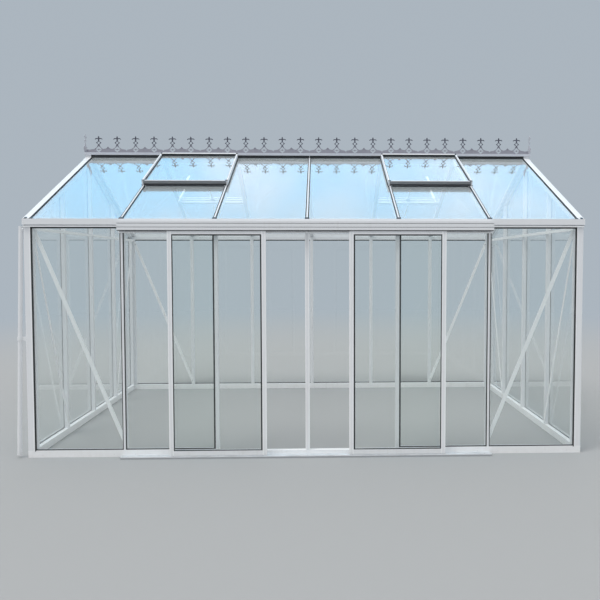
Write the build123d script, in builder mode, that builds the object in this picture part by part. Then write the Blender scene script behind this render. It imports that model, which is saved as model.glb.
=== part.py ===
from build123d import *
import math
import os

os.makedirs("parts", exist_ok=True)

# Layout of the house. X runs along the front, Y from front to rear, Z up from the ground.
# The origin is the middle of the footprint at ground level, under the ridge.
bay = 740
front_bays = 6
gable_bays = 4
eave_height = 1930
roof_pitch = 25.3

# How every pane is held: an outer cap strip, rubber, the pane, then the body of the bar
cap_thickness = 3
rubber_thickness = 2.5
glass_thickness = 4
pane_clearance = 1.5
pane_seat = 0.3
glass_face = cap_thickness + rubber_thickness
body_face = glass_face + glass_thickness

# Extruded bars of the walls and the roof
bar_cap = 17
bar_cap_edge = 0.8
bar_neck = 5
bar_body = 38
bar_depth = 44
bar_wall = 2.5
corner_cap = 62
corner_groove = 8
corner_body = 73
corner_edge = 2.5
middle_post_width = 35
jamb_cap_lap = 7
jamb_face = 22

# Base frame round the foot of the walls
sill_depth = 48
sill_height = 58
sill_wall = 3
sill_groove = 8
sill_line_height = 36
sill_line_width = 2
sill_line_depth = 1.2
door_sill_height = 42

# Eave beam with its gutter
eave_drop = 74
eave_box_height = 34
eave_groove = 8
eave_wall = 2.5
gutter_reach = 20
gutter_wall = 2.5
gutter_bead = 6
gutter_bead_height = 3
gutter_lip_drop = 9
gutter_floor_drop = 56
gutter_back = 20
gutter_back_wall = 3
eave_plate = 3
eave_plate_reach = 76
roof_glass_overhang = 2
rafter_cap_overhang = 12

# Ridge beam, its cap and the plates over its ends
ridge_body_width = 40
ridge_body_height = 73
ridge_wall = 3
ridge_cap_width = 68
ridge_cap_height = 25
ridge_cap_rise = 37.75
ridge_cap_overhang = 12
apex_plate_reach = 90

# Cresting on the ridge: pairs of ornaments on a scalloped band, heights above the cap
ornaments_per_bay = 4
crest_thickness = 4
crest_joint = 0.6
crest_height = 168
crest_pole = 13
crest_point = 9
crest_arm_span = 76
crest_arm_top = 147
crest_arm_bend = 27
crest_arm_root = 138
crest_arm_tip = 131
crest_arm_tip_width = 12
crest_ring_width = 54
crest_ring_height = 42
crest_ring_middle = 100
crest_ring_hole = 13
crest_waist = 15
crest_waist_height = 80
crest_leg_span = 90
crest_leg_height = 38
crest_leg_bend = 20
crest_leg_bend_height = 54
crest_eye_width = 68
crest_eye_top = 68
crest_eye_middle = 33
crest_eye_foot = 5
crest_boss = 9
crest_facets = 8
crest_web = 3
crest_peak = 62
crest_peak_bend = 19
crest_peak_bend_height = 43
crest_notch = 20
crest_notch_width = 9
crest_band = 32
finial_height = 188
finial_foot = 64
finial_foot_height = 16

# Doors: two glazed leaves that slide outside the wall, hung from a header track
leaf_width = 780
leaf_thickness = 24
leaf_back_gap = 42
leaf_bottom = 21
leaf_head_lap = 7
leaf_stile = 35
leaf_top_rail = 40
leaf_bottom_rail = 40
leaf_groove = 8
leaf_wall = 2.5
left_leaf_place = -717
right_leaf_place = 727
track_length = 2990
header_reach = 75
header_drop = 101
header_height = 72
header_wall = 3
header_back_drop = 19
header_line_width = 5
header_line_depth = 1.8
header_line_low = 23
header_line_high = 53
track_level = 46
track_lip = 18
track_lip_edge = 2
track_lip_rise = 3
wheel_radius = 8.5
wheel_width = 6
wheel_facets = 20
wheel_gap = 0.3
hanger_width = 30
hanger_thickness = 3
hanger_rise = 56
hanger_foot = 20
hanger_inset = 90
hanger_setback = 1
axle_radius = 2.5
axle_facets = 6
threshold_reach = 80
threshold_height = 15
threshold_wall = 3
threshold_edge = 4
threshold_rib_height = 6
threshold_rib_width = 3
threshold_rib_gap = 8

# Roof vents in the second and the fifth bay of each slope, and the bar under their foot
vent_side_lap = 15
vent_length = 850
vent_frame = 25
vent_frame_height = 45
vent_seat = 12
vent_seat_height = 21
vent_ridge_gap = 6
vent_bays = (2, 5)
vent_bar_width = 36
vent_bar_depth = 25
vent_bar_wall = 2.5
vent_lap = 8

# Bracing, the rail across each gable and the rainwater pipes
brace_width = 32
brace_end = 12
brace_thickness = 3
brace_top_drop = 42
brace_corner_inset = 72
brace_foot_rise = 28
gable_rail_height = 25
gable_rail_depth = 25
gable_rail_drop = 97
gable_rail_wall = 2.5
pipe_radius = 17
pipe_wall_gap = 5
pipe_inset = 8
pipe_top_drop = 68
pipe_entry_drop = 92
pipe_entry_radius = 13
pipe_lean = 1.6
pipe_foot = 22
clip_height = 30
clip_place = 950
clip_rim = 4
clip_facets = 16
clip_tongue = 8

# Worked out from the sizes above
half_length = front_bays * bay / 2 + corner_cap / 2
half_depth = gable_bays * bay / 2 + corner_cap / 2
slope_sine = math.sin(math.radians(roof_pitch))
slope_cosine = math.cos(math.radians(roof_pitch))
slope_rise = math.tan(math.radians(roof_pitch))
slope_length = half_depth / slope_cosine
ridge_peak = eave_height + half_depth * slope_rise
ridge_cap_top = ridge_peak + ridge_cap_rise
header_bottom = eave_height - header_drop
leaf_top = header_bottom + leaf_head_lap
vent_width = bay + 2 * vent_side_lap
post_top = eave_height - eave_drop
post_height = post_top - sill_height
inner_posts = [bay * (i - front_bays / 2) for i in range(1, front_bays)]
outer_posts = [x for x in inner_posts if abs(x) > bay]
gable_post_places = [bay * (i - gable_bays / 2) for i in range(1, gable_bays)]
bay_middles = [bay * (i + 0.5 - front_bays / 2) for i in range(front_bays)]
vent_middles = [bay * (n - (front_bays + 1) / 2) for n in vent_bays]
corners = [
    (-half_length, -half_depth, 0),
    (half_length, -half_depth, 90),
    (half_length, half_depth, 180),
    (-half_length, half_depth, 270),
]

# Planes that the long pieces are drawn on: across the front wall, and along and across the slope
front_section = Plane(origin=(0, -half_depth, 0), x_dir=(0, 1, 0), z_dir=(1, 0, 0))
left_section = Plane(origin=(-half_length, 0, 0), x_dir=(1, 0, 0), z_dir=(0, -1, 0))
slope_across = Plane(
    origin=(0, -half_depth, eave_height),
    x_dir=(1, 0, 0),
    z_dir=(0, slope_cosine, slope_sine),
)
slope_along = Plane(
    origin=(0, -half_depth, eave_height),
    x_dir=(0, slope_cosine, slope_sine),
    z_dir=(1, 0, 0),
)


def roof_height(y, depth=0):
    """Height of the roof's outer plane at y, or of a plane a depth below it."""
    return eave_height + (half_depth - abs(y)) * slope_rise - depth / slope_cosine


# Section of a glazing bar: cap strip, neck between the panes, hollow body behind them
with BuildSketch() as bar_section:
    with BuildLine():
        Polyline(
            (0, 0),
            (bar_cap / 2 - bar_cap_edge, 0),
            (bar_cap / 2, bar_cap_edge),
            (bar_cap / 2, cap_thickness),
            (bar_neck / 2, cap_thickness),
            (bar_neck / 2, body_face),
            (bar_body / 2, body_face),
            (bar_body / 2, bar_depth),
            (0, bar_depth),
        )
        mirror(about=Plane.YZ)
    make_face()
    with Locations((0, (body_face + bar_depth) / 2)):
        Rectangle(
            bar_body - 2 * bar_wall,
            bar_depth - body_face - 2 * bar_wall,
            mode=Mode.SUBTRACT,
        )

# Section of a door jamb: glazed on one side, a flat face to the doorway on the other
with BuildSketch() as jamb_section:
    with BuildLine():
        Polyline(
            (-jamb_cap_lap, 0),
            (jamb_face - bar_cap_edge, 0),
            (jamb_face, bar_cap_edge),
            (jamb_face, bar_depth),
            (-bar_body / 2, bar_depth),
            (-bar_body / 2, body_face),
            (-bar_neck / 2, body_face),
            (-bar_neck / 2, cap_thickness),
            (-jamb_cap_lap, cap_thickness),
            close=True,
        )
    make_face()
    with Locations((jamb_face - bar_wall, bar_depth - bar_wall)):
        Rectangle(
            jamb_face + bar_body / 2 - 2 * bar_wall,
            bar_depth - body_face - 2 * bar_wall,
            align=(Align.MAX, Align.MAX),
            mode=Mode.SUBTRACT,
        )

# Section of a corner post and of an end rafter: two caps at a right angle on a hollow angle
with BuildSketch() as corner_section:
    with BuildLine():
        Polyline(
            (corner_edge, 0),
            (corner_cap, 0),
            (corner_cap, cap_thickness),
            (corner_cap - corner_groove, cap_thickness),
            (corner_cap - corner_groove, body_face),
            (corner_body, body_face),
            (corner_body, bar_depth),
            (bar_depth, bar_depth),
            (bar_depth, corner_body),
            (body_face, corner_body),
            (body_face, corner_cap - corner_groove),
            (cap_thickness, corner_cap - corner_groove),
            (cap_thickness, corner_cap),
            (0, corner_cap),
            (0, corner_edge),
            close=True,
        )
    make_face()
    with Locations((body_face + bar_wall, body_face + bar_wall)):
        Rectangle(
            bar_depth - body_face - 2 * bar_wall,
            bar_depth - body_face - 2 * bar_wall,
            align=(Align.MIN, Align.MIN),
            mode=Mode.SUBTRACT,
        )
    with Locations((bar_depth, body_face + bar_wall)):
        Rectangle(
            corner_body - bar_depth - bar_wall,
            bar_depth - body_face - 2 * bar_wall,
            align=(Align.MIN, Align.MIN),
            mode=Mode.SUBTRACT,
        )
    with Locations((body_face + bar_wall, bar_depth)):
        Rectangle(
            bar_depth - body_face - 2 * bar_wall,
            corner_body - bar_depth - bar_wall,
            align=(Align.MIN, Align.MIN),
            mode=Mode.SUBTRACT,
        )

# Section of the base frame: a hollow box with a glazing groove along its outer top edge
with BuildSketch() as sill_section:
    with BuildLine():
        Polyline(
            (0, 0),
            (sill_depth, 0),
            (sill_depth, sill_height),
            (body_face, sill_height),
            (body_face, sill_height - sill_groove),
            (cap_thickness, sill_height - sill_groove),
            (cap_thickness, sill_height),
            (0, sill_height),
            close=True,
        )
    make_face()
    with Locations((0, sill_line_height)):
        Rectangle(2 * sill_line_depth, sill_line_width, mode=Mode.SUBTRACT)
    with Locations((sill_wall, sill_wall)):
        Rectangle(
            sill_depth - 2 * sill_wall,
            door_sill_height - 2 * sill_wall,
            align=(Align.MIN, Align.MIN),
            mode=Mode.SUBTRACT,
        )

# Base frame: four lengths mitred at the corners, the front one cut down across the doorway
with BuildPart() as front_sill:
    with BuildSketch(front_section):
        add(sill_section.sketch)
    extrude(amount=half_length, both=True)
    with BuildSketch(Plane.XY):
        with BuildLine():
            Polyline(
                (-half_length, -half_depth),
                (half_length, -half_depth),
                (half_length - sill_depth, -half_depth + sill_depth),
                (-half_length + sill_depth, -half_depth + sill_depth),
                close=True,
            )
        make_face()
    extrude(amount=sill_height, mode=Mode.INTERSECT)
    with Locations((0, -half_depth, door_sill_height)):
        Box(
            2 * (bay - jamb_face),
            3 * sill_depth,
            sill_height,
            align=(Align.CENTER, Align.CENTER, Align.MIN),
            mode=Mode.SUBTRACT,
        )
front_sill.part.label = "front_sill"
export_step(front_sill.part, "parts/front_sill.step")

with BuildPart() as rear_sill:
    with BuildSketch(front_section):
        add(sill_section.sketch)
    extrude(amount=half_length, both=True)
    with BuildSketch(Plane.XY):
        with BuildLine():
            Polyline(
                (-half_length, -half_depth),
                (half_length, -half_depth),
                (half_length - sill_depth, -half_depth + sill_depth),
                (-half_length + sill_depth, -half_depth + sill_depth),
                close=True,
            )
        make_face()
    extrude(amount=sill_height, mode=Mode.INTERSECT)
    mirror(about=Plane.XZ, mode=Mode.REPLACE)
rear_sill.part.label = "rear_sill"
export_step(rear_sill.part, "parts/rear_sill.step")

with BuildPart() as left_sill:
    with BuildSketch(left_section):
        add(sill_section.sketch)
    extrude(amount=half_depth, both=True)
    with BuildSketch(Plane.XY):
        with BuildLine():
            Polyline(
                (-half_length, -half_depth),
                (-half_length + sill_depth, -half_depth + sill_depth),
                (-half_length + sill_depth, half_depth - sill_depth),
                (-half_length, half_depth),
                close=True,
            )
        make_face()
    extrude(amount=sill_height, mode=Mode.INTERSECT)
left_sill.part.label = "left_sill"
export_step(left_sill.part, "parts/left_sill.step")

with BuildPart() as right_sill:
    mirror(left_sill.part, about=Plane.YZ)
right_sill.part.label = "right_sill"
export_step(right_sill.part, "parts/right_sill.step")

# Posts of the walls, standing on the base frame and reaching up to the eave beams
with BuildPart() as corner_posts:
    with BuildSketch(Plane.XY.offset(sill_height)):
        for x, y, turn in corners:
            with Locations((x, y)):
                add(corner_section.sketch, rotation=turn)
    extrude(amount=post_height)
corner_posts.part.label = "corner_posts"
export_step(corner_posts.part, "parts/corner_posts.step")

with BuildPart() as front_wall_posts:
    with BuildSketch(Plane.XY.offset(sill_height)):
        with Locations(*[(x, -half_depth) for x in outer_posts]):
            add(bar_section.sketch)
        with Locations((-bay, -half_depth)):
            add(jamb_section.sketch)
        mirror(about=Plane.YZ)
    extrude(amount=post_height)
    with BuildSketch(Plane.XY.offset(door_sill_height)):
        with Locations((0, -half_depth + bar_depth / 2)):
            Rectangle(middle_post_width, bar_depth)
            Rectangle(
                middle_post_width - 2 * bar_wall,
                bar_depth - 2 * bar_wall,
                mode=Mode.SUBTRACT,
            )
    extrude(amount=post_top - door_sill_height)
front_wall_posts.part.label = "front_wall_posts"
export_step(front_wall_posts.part, "parts/front_wall_posts.step")

with BuildPart() as rear_wall_posts:
    with BuildSketch(Plane.XY.offset(sill_height)):
        with Locations(*[(x, half_depth) for x in inner_posts]):
            add(bar_section.sketch, rotation=180)
    extrude(amount=post_height)
rear_wall_posts.part.label = "rear_wall_posts"
export_step(rear_wall_posts.part, "parts/rear_wall_posts.step")

# Gable posts run up past the eave and are cut to the slope, clear of the end rafters
with BuildPart() as left_gable_posts:
    with BuildSketch(Plane.XY.offset(sill_height)):
        with Locations(*[(-half_length, y) for y in gable_post_places]):
            add(bar_section.sketch, rotation=-90)
    extrude(amount=ridge_peak - sill_height)
    with BuildSketch(Plane.YZ):
        with BuildLine():
            Polyline(
                (-half_depth, 0),
                (half_depth, 0),
                (half_depth, roof_height(half_depth, corner_body)),
                (0, roof_height(0, corner_body)),
                (-half_depth, roof_height(half_depth, corner_body)),
                close=True,
            )
        make_face()
    extrude(amount=-half_length, mode=Mode.INTERSECT)
left_gable_posts.part.label = "left_gable_posts"
export_step(left_gable_posts.part, "parts/left_gable_posts.step")

with BuildPart() as right_gable_posts:
    mirror(left_gable_posts.part, about=Plane.YZ)
right_gable_posts.part.label = "right_gable_posts"
export_step(right_gable_posts.part, "parts/right_gable_posts.step")

# Eave beam: glazing groove below, gutter channel in front, a plate over each end
with BuildPart() as front_gutter:
    with BuildSketch(front_section):
        with BuildLine():
            Polyline(
                (0, post_top),
                (0, eave_height - gutter_floor_drop),
                (-gutter_reach, eave_height - gutter_floor_drop),
                (-gutter_reach, eave_height - gutter_lip_drop),
                (-gutter_reach + gutter_bead, eave_height - gutter_lip_drop),
                (-gutter_reach + gutter_bead, eave_height - gutter_lip_drop - gutter_bead_height),
                (-gutter_reach + gutter_wall, eave_height - gutter_lip_drop - gutter_bead_height),
                (-gutter_reach + gutter_wall, eave_height - gutter_floor_drop + gutter_wall),
                (gutter_back, eave_height - gutter_floor_drop + gutter_wall),
                (gutter_back, roof_height(-half_depth + gutter_back, body_face)),
                (
                    gutter_back + gutter_back_wall,
                    roof_height(-half_depth + gutter_back + gutter_back_wall, body_face),
                ),
                (gutter_back + gutter_back_wall, post_top + eave_box_height),
                (bar_depth, post_top + eave_box_height),
                (bar_depth, post_top),
                (body_face, post_top),
                (body_face, post_top + eave_groove),
                (cap_thickness, post_top + eave_groove),
                (cap_thickness, post_top),
                close=True,
            )
        make_face()
        with Locations((body_face + eave_wall, post_top + eave_wall)):
            Rectangle(
                bar_depth - body_face - 2 * eave_wall,
                eave_drop - gutter_floor_drop - 2 * eave_wall,
                align=(Align.MIN, Align.MIN),
                mode=Mode.SUBTRACT,
            )
    extrude(amount=half_length, both=True)
    with BuildSketch(front_section.offset(half_length)) as eave_end:
        with BuildLine():
            Polyline(
                (0, post_top),
                (0, eave_height - gutter_floor_drop),
                (-gutter_reach, eave_height - gutter_floor_drop),
                (-gutter_reach, eave_height - gutter_lip_drop),
                (0, roof_height(-half_depth, body_face)),
                (eave_plate_reach, roof_height(-half_depth + eave_plate_reach, body_face)),
                (eave_plate_reach, post_top),
                close=True,
            )
        make_face()
    extrude(amount=eave_plate)
    mirror(about=Plane.YZ)
front_gutter.part.label = "front_gutter"
export_step(front_gutter.part, "parts/front_gutter.step")

with BuildPart() as rear_gutter:
    mirror(front_gutter.part, about=Plane.XZ)
rear_gutter.part.label = "rear_gutter"
export_step(rear_gutter.part, "parts/rear_gutter.step")

# A rail ties the posts of each gable together on the inside, just under the eave
with BuildPart() as left_gable_rail:
    with BuildSketch(left_section):
        with Locations((bar_depth, eave_height - gable_rail_drop)):
            Rectangle(gable_rail_depth, gable_rail_height, align=(Align.MIN, Align.MIN))
        with Locations((bar_depth + gable_rail_wall, eave_height - gable_rail_drop + gable_rail_wall)):
            Rectangle(
                gable_rail_depth - 2 * gable_rail_wall,
                gable_rail_height - 2 * gable_rail_wall,
                align=(Align.MIN, Align.MIN),
                mode=Mode.SUBTRACT,
            )
    extrude(amount=half_depth - bar_depth, both=True)
left_gable_rail.part.label = "left_gable_rail"
export_step(left_gable_rail.part, "parts/left_gable_rail.step")

with BuildPart() as right_gable_rail:
    mirror(left_gable_rail.part, about=Plane.YZ)
right_gable_rail.part.label = "right_gable_rail"
export_step(right_gable_rail.part, "parts/right_gable_rail.step")

# What is left of a rafter: notched over the eave beam, only its cap above the gutter,
# and cut upright against the side of the ridge beam
with BuildSketch(Plane.YZ) as rafter_cut:
    with BuildLine():
        Polyline(
            (-half_depth - rafter_cap_overhang, ridge_cap_top),
            (-ridge_body_width / 2, ridge_cap_top),
            (-ridge_body_width / 2, 0),
            (-half_depth + bar_depth, 0),
            (-half_depth + bar_depth, post_top + eave_box_height),
            (-half_depth + gutter_back + gutter_back_wall, post_top + eave_box_height),
            (
                -half_depth + gutter_back + gutter_back_wall,
                roof_height(-half_depth + gutter_back + gutter_back_wall, body_face),
            ),
            (
                -half_depth - rafter_cap_overhang,
                roof_height(half_depth + rafter_cap_overhang, body_face),
            ),
            close=True,
        )
    make_face()

with BuildPart() as front_rafters:
    with BuildSketch(slope_across.offset(-eave_drop)):
        with Locations(*[(x, 0) for x in inner_posts]):
            add(bar_section.sketch)
    extrude(amount=slope_length + 2 * eave_drop)
    extrude(rafter_cut.sketch, amount=half_length, both=True, mode=Mode.INTERSECT)
front_rafters.part.label = "front_rafters"
export_step(front_rafters.part, "parts/front_rafters.step")

with BuildPart() as rear_rafters:
    mirror(front_rafters.part, about=Plane.XZ)
rear_rafters.part.label = "rear_rafters"
export_step(rear_rafters.part, "parts/rear_rafters.step")

with BuildPart() as left_end_rafters:
    with BuildSketch(slope_across.offset(-eave_drop)):
        with Locations((-half_length, 0)):
            add(corner_section.sketch)
    extrude(amount=slope_length + 2 * eave_drop)
    extrude(rafter_cut.sketch, amount=half_length, both=True, mode=Mode.INTERSECT)
    mirror(about=Plane.XZ)
left_end_rafters.part.label = "left_end_rafters"
export_step(left_end_rafters.part, "parts/left_end_rafters.step")

with BuildPart() as right_end_rafters:
    mirror(left_end_rafters.part, about=Plane.YZ)
right_end_rafters.part.label = "right_end_rafters"
export_step(right_end_rafters.part, "parts/right_end_rafters.step")

# Ridge beam: hollow body between the rafters, wide cap over it, and a plate on each gable
with BuildPart() as ridge_beam:
    with BuildSketch(Plane.YZ):
        with Locations((0, ridge_cap_top - ridge_cap_height)):
            Rectangle(ridge_body_width, ridge_body_height, align=(Align.CENTER, Align.MAX))
        with Locations((0, ridge_cap_top - ridge_cap_height - ridge_wall)):
            Rectangle(
                ridge_body_width - 2 * ridge_wall,
                ridge_body_height - 2 * ridge_wall,
                align=(Align.CENTER, Align.MAX),
                mode=Mode.SUBTRACT,
            )
    extrude(amount=half_length, both=True)
    with BuildSketch(Plane.YZ):
        with Locations((0, ridge_cap_top)):
            Rectangle(ridge_cap_width, ridge_cap_height, align=(Align.CENTER, Align.MAX))
        with Locations((0, ridge_cap_top - ridge_wall)):
            Rectangle(
                ridge_cap_width - 2 * ridge_wall,
                ridge_cap_height - 2 * ridge_wall,
                align=(Align.CENTER, Align.MAX),
                mode=Mode.SUBTRACT,
            )
    extrude(amount=half_length + ridge_cap_overhang, both=True)
ridge_beam.part.label = "ridge_beam"
export_step(ridge_beam.part, "parts/ridge_beam.step")

with BuildPart() as apex_plates:
    with BuildSketch(Plane.YZ.offset(half_length)):
        with BuildLine():
            Polyline(
                (0, ridge_peak),
                (apex_plate_reach, roof_height(apex_plate_reach)),
                (apex_plate_reach, roof_height(apex_plate_reach, corner_cap)),
                (0, roof_height(0, corner_cap)),
            )
            mirror(about=Plane.YZ)
        make_face()
    extrude(amount=eave_plate)
    mirror(about=Plane.YZ)
apex_plates.part.label = "apex_plates"
export_step(apex_plates.part, "parts/apex_plates.step")

# One ornament of the cresting: spread legs, a pierced lozenge, drooping arms and a spike
crest_pitch = bay / ornaments_per_bay
with BuildSketch() as ornament:
    with BuildLine():
        Polyline(
            (0, 0),
            (crest_leg_span / 2, 0),
            (crest_leg_span / 2, crest_leg_height),
            (crest_leg_bend, crest_leg_bend_height),
            (crest_waist / 2, crest_waist_height),
            (0, crest_waist_height),
        )
        mirror(about=Plane.YZ)
    make_face()
    with BuildLine():
        Polyline(
            (0, crest_arm_top),
            (crest_arm_bend, crest_arm_top),
            (crest_arm_span / 2, crest_arm_root),
            (crest_arm_span / 2 - crest_web, crest_arm_tip),
            (crest_arm_span / 2 - crest_arm_tip_width, crest_arm_root),
            (0, crest_arm_root),
        )
        mirror(about=Plane.YZ)
    make_face()
    with BuildLine():
        Polyline(
            (0, crest_waist_height - crest_pole),
            (crest_pole / 2, crest_waist_height - crest_pole),
            (crest_pole / 2, crest_height - crest_point),
            (0, crest_height),
        )
        mirror(about=Plane.YZ)
    make_face()
    with Locations((0, crest_ring_middle)):
        Polygon(
            (crest_ring_width / 2, 0),
            (0, crest_ring_height / 2),
            (-crest_ring_width / 2, 0),
            (0, -crest_ring_height / 2),
        )
        RegularPolygon(crest_ring_hole, crest_facets, mode=Mode.SUBTRACT)

# One casting of the cresting: a scalloped band with two ornaments, nicked where castings meet.
# The eye between the legs of an ornament is a kite with a boss on a thin web across it.
with BuildSketch() as crest_segment:
    with BuildLine():
        Polyline(
            (0, 0),
            (crest_pitch - crest_joint / 2, 0),
            (crest_pitch - crest_joint / 2, crest_notch),
            (crest_pitch - crest_notch_width, crest_band),
            ((crest_pitch + crest_leg_span) / 2, crest_leg_height),
            ((crest_pitch - crest_leg_span) / 2, crest_leg_height),
            (crest_peak_bend, crest_peak_bend_height),
            (0, crest_peak),
        )
        mirror(about=Plane.YZ)
    make_face()
    with GridLocations(crest_pitch, 0, 2, 1):
        add(ornament.sketch)
        Polygon(
            (crest_eye_width / 2, crest_eye_middle),
            (0, crest_eye_top),
            (-crest_eye_width / 2, crest_eye_middle),
            (0, crest_eye_foot),
            align=None,
            mode=Mode.SUBTRACT,
        )
        with Locations((0, crest_eye_middle)):
            Rectangle(crest_eye_width + crest_web, crest_web)
            RegularPolygon(crest_boss, crest_facets)

with BuildPart() as ridge_cresting:
    with BuildSketch(
        Plane(
            origin=(0, crest_thickness / 2, ridge_cap_top),
            x_dir=(1, 0, 0),
            z_dir=(0, -1, 0),
        )
    ):
        with GridLocations(2 * crest_pitch, 0, front_bays * ornaments_per_bay // 2, 1):
            add(crest_segment.sketch)
        with Locations((half_length, 0)):
            Rectangle(
                half_length - front_bays * bay / 2 + crest_joint,
                crest_band,
                align=(Align.MAX, Align.MIN),
            )
        with Locations((-half_length, 0)):
            Rectangle(
                half_length - front_bays * bay / 2 + crest_joint,
                crest_band,
                align=(Align.MIN, Align.MIN),
            )
    extrude(amount=crest_thickness)
ridge_cresting.part.label = "ridge_cresting"
export_step(ridge_cresting.part, "parts/ridge_cresting.step")

# Finials: the same ornament on a stepped foot, across each end of the ridge
with BuildPart() as ridge_finials:
    with BuildSketch(
        Plane(
            origin=(half_length + ridge_cap_overhang - crest_thickness, 0, ridge_cap_top),
            x_dir=(0, 1, 0),
            z_dir=(1, 0, 0),
        )
    ):
        with Locations((0, finial_height - crest_height)):
            add(ornament.sketch)
        Rectangle(finial_foot, finial_foot_height, align=(Align.CENTER, Align.MIN))
        Rectangle(
            crest_leg_span / 2,
            finial_height - crest_height + crest_web,
            align=(Align.CENTER, Align.MIN),
        )
    extrude(amount=crest_thickness)
    mirror(about=Plane.YZ)
ridge_finials.part.label = "ridge_finials"
export_step(ridge_finials.part, "parts/ridge_finials.step")

# Wall panes: each stands in the groove of the base frame and rises into the eave beam
pane_foot = sill_height - sill_groove + pane_seat
pane_top = post_top + eave_groove - pane_clearance
pane_edge = bar_neck / 2 + pane_clearance
corner_pane_edge = corner_cap - corner_groove + pane_clearance
with BuildPart() as front_wall_glass:
    with BuildSketch(Plane.XY.offset(pane_foot)):
        with Locations((-half_length + corner_pane_edge, -half_depth + glass_face)):
            Rectangle(
                half_length - corner_pane_edge - 2 * bay - pane_edge,
                glass_thickness,
                align=(Align.MIN, Align.MIN),
            )
        with Locations((-2 * bay + pane_edge, -half_depth + glass_face)):
            Rectangle(bay - 2 * pane_edge, glass_thickness, align=(Align.MIN, Align.MIN))
        mirror(about=Plane.YZ)
    extrude(amount=pane_top - pane_foot)
front_wall_glass.part.label = "front_wall_glass"
export_step(front_wall_glass.part, "parts/front_wall_glass.step")

with BuildPart() as rear_wall_glass:
    with BuildSketch(Plane.XY.offset(pane_foot)):
        with Locations((-half_length + corner_pane_edge, half_depth - glass_face)):
            Rectangle(
                half_length - corner_pane_edge - 2 * bay - pane_edge,
                glass_thickness,
                align=(Align.MIN, Align.MAX),
            )
        with Locations(*[(x, half_depth - glass_face) for x in bay_middles[1:3]]):
            Rectangle(bay - 2 * pane_edge, glass_thickness, align=(Align.CENTER, Align.MAX))
        mirror(about=Plane.YZ)
    extrude(amount=pane_top - pane_foot)
rear_wall_glass.part.label = "rear_wall_glass"
export_step(rear_wall_glass.part, "parts/rear_wall_glass.step")

# Gable panes: one tall pane a bay, its head cut to the slope inside the end rafter's groove
with BuildPart() as left_gable_glass:
    with BuildSketch(Plane.YZ.offset(-half_length + glass_face)):
        with BuildLine():
            Polyline(
                (-half_depth + corner_pane_edge, pane_foot),
                (-bay - pane_edge, pane_foot),
                (-bay - pane_edge, roof_height(bay + pane_edge, corner_pane_edge)),
                (
                    -half_depth + corner_pane_edge,
                    roof_height(half_depth - corner_pane_edge, corner_pane_edge),
                ),
                close=True,
            )
        make_face()
        with BuildLine():
            Polyline(
                (-bay + pane_edge, pane_foot),
                (-pane_edge, pane_foot),
                (-pane_edge, roof_height(pane_edge, corner_pane_edge)),
                (-bay + pane_edge, roof_height(bay - pane_edge, corner_pane_edge)),
                close=True,
            )
        make_face()
        mirror(about=Plane.YZ)
    extrude(amount=glass_thickness)
left_gable_glass.part.label = "left_gable_glass"
export_step(left_gable_glass.part, "parts/left_gable_glass.step")

with BuildPart() as right_gable_glass:
    mirror(left_gable_glass.part, about=Plane.YZ)
right_gable_glass.part.label = "right_gable_glass"
export_step(right_gable_glass.part, "parts/right_gable_glass.step")

# Roof panes run from over the gutter to the ridge beam, and stop at the bar below a vent
slope_foot = -roof_glass_overhang / slope_cosine
slope_head = (
    half_depth - ridge_body_width / 2 - pane_seat - body_face * slope_sine
) / slope_cosine
vent_head = (half_depth - ridge_body_width / 2 - vent_ridge_gap) / slope_cosine
vent_foot = vent_head - vent_length
end_pane_width = half_length - corner_pane_edge - 2 * bay - pane_edge
with BuildPart() as front_roof_glass:
    with BuildSketch(slope_along.offset(-half_length + corner_pane_edge)):
        with Locations((slope_foot, -glass_face)):
            Rectangle(slope_head - slope_foot, glass_thickness, align=(Align.MIN, Align.MAX))
    extrude(amount=end_pane_width)
    with BuildSketch(slope_along.offset(-2 * bay + pane_edge)):
        with Locations((slope_foot, -glass_face)):
            Rectangle(vent_foot - slope_foot, glass_thickness, align=(Align.MIN, Align.MAX))
    extrude(amount=bay - 2 * pane_edge)
    with BuildSketch(slope_along.offset(-bay + pane_edge)):
        with Locations((slope_foot, -glass_face)):
            Rectangle(slope_head - slope_foot, glass_thickness, align=(Align.MIN, Align.MAX))
    extrude(amount=bay - 2 * pane_edge)
    mirror(about=Plane.YZ)
front_roof_glass.part.label = "front_roof_glass"
export_step(front_roof_glass.part, "parts/front_roof_glass.step")

with BuildPart() as rear_roof_glass:
    mirror(front_roof_glass.part, about=Plane.XZ)
rear_roof_glass.part.label = "rear_roof_glass"
export_step(rear_roof_glass.part, "parts/rear_roof_glass.step")

# Roof vents: a rebated frame that lies on the rafter caps, with its pane on the rebate
vent_rail_length = vent_width - 2 * vent_frame
with BuildPart() as vent_stiles:
    with BuildSketch(slope_across.offset(vent_foot)):
        for middle in vent_middles:
            for side in (-1, 1):
                edge = middle + side * vent_width / 2
                with BuildLine():
                    Polyline(
                        (edge, 0),
                        (edge - side * vent_frame, 0),
                        (edge - side * vent_frame, -vent_seat_height),
                        (edge - side * (vent_frame - vent_seat), -vent_seat_height),
                        (edge - side * (vent_frame - vent_seat), -vent_frame_height),
                        (edge, -vent_frame_height),
                        close=True,
                    )
                make_face()
    extrude(amount=vent_length)
    mirror(about=Plane.XZ)
vent_stiles.part.label = "vent_stiles"
export_step(vent_stiles.part, "parts/vent_stiles.step")

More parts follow.
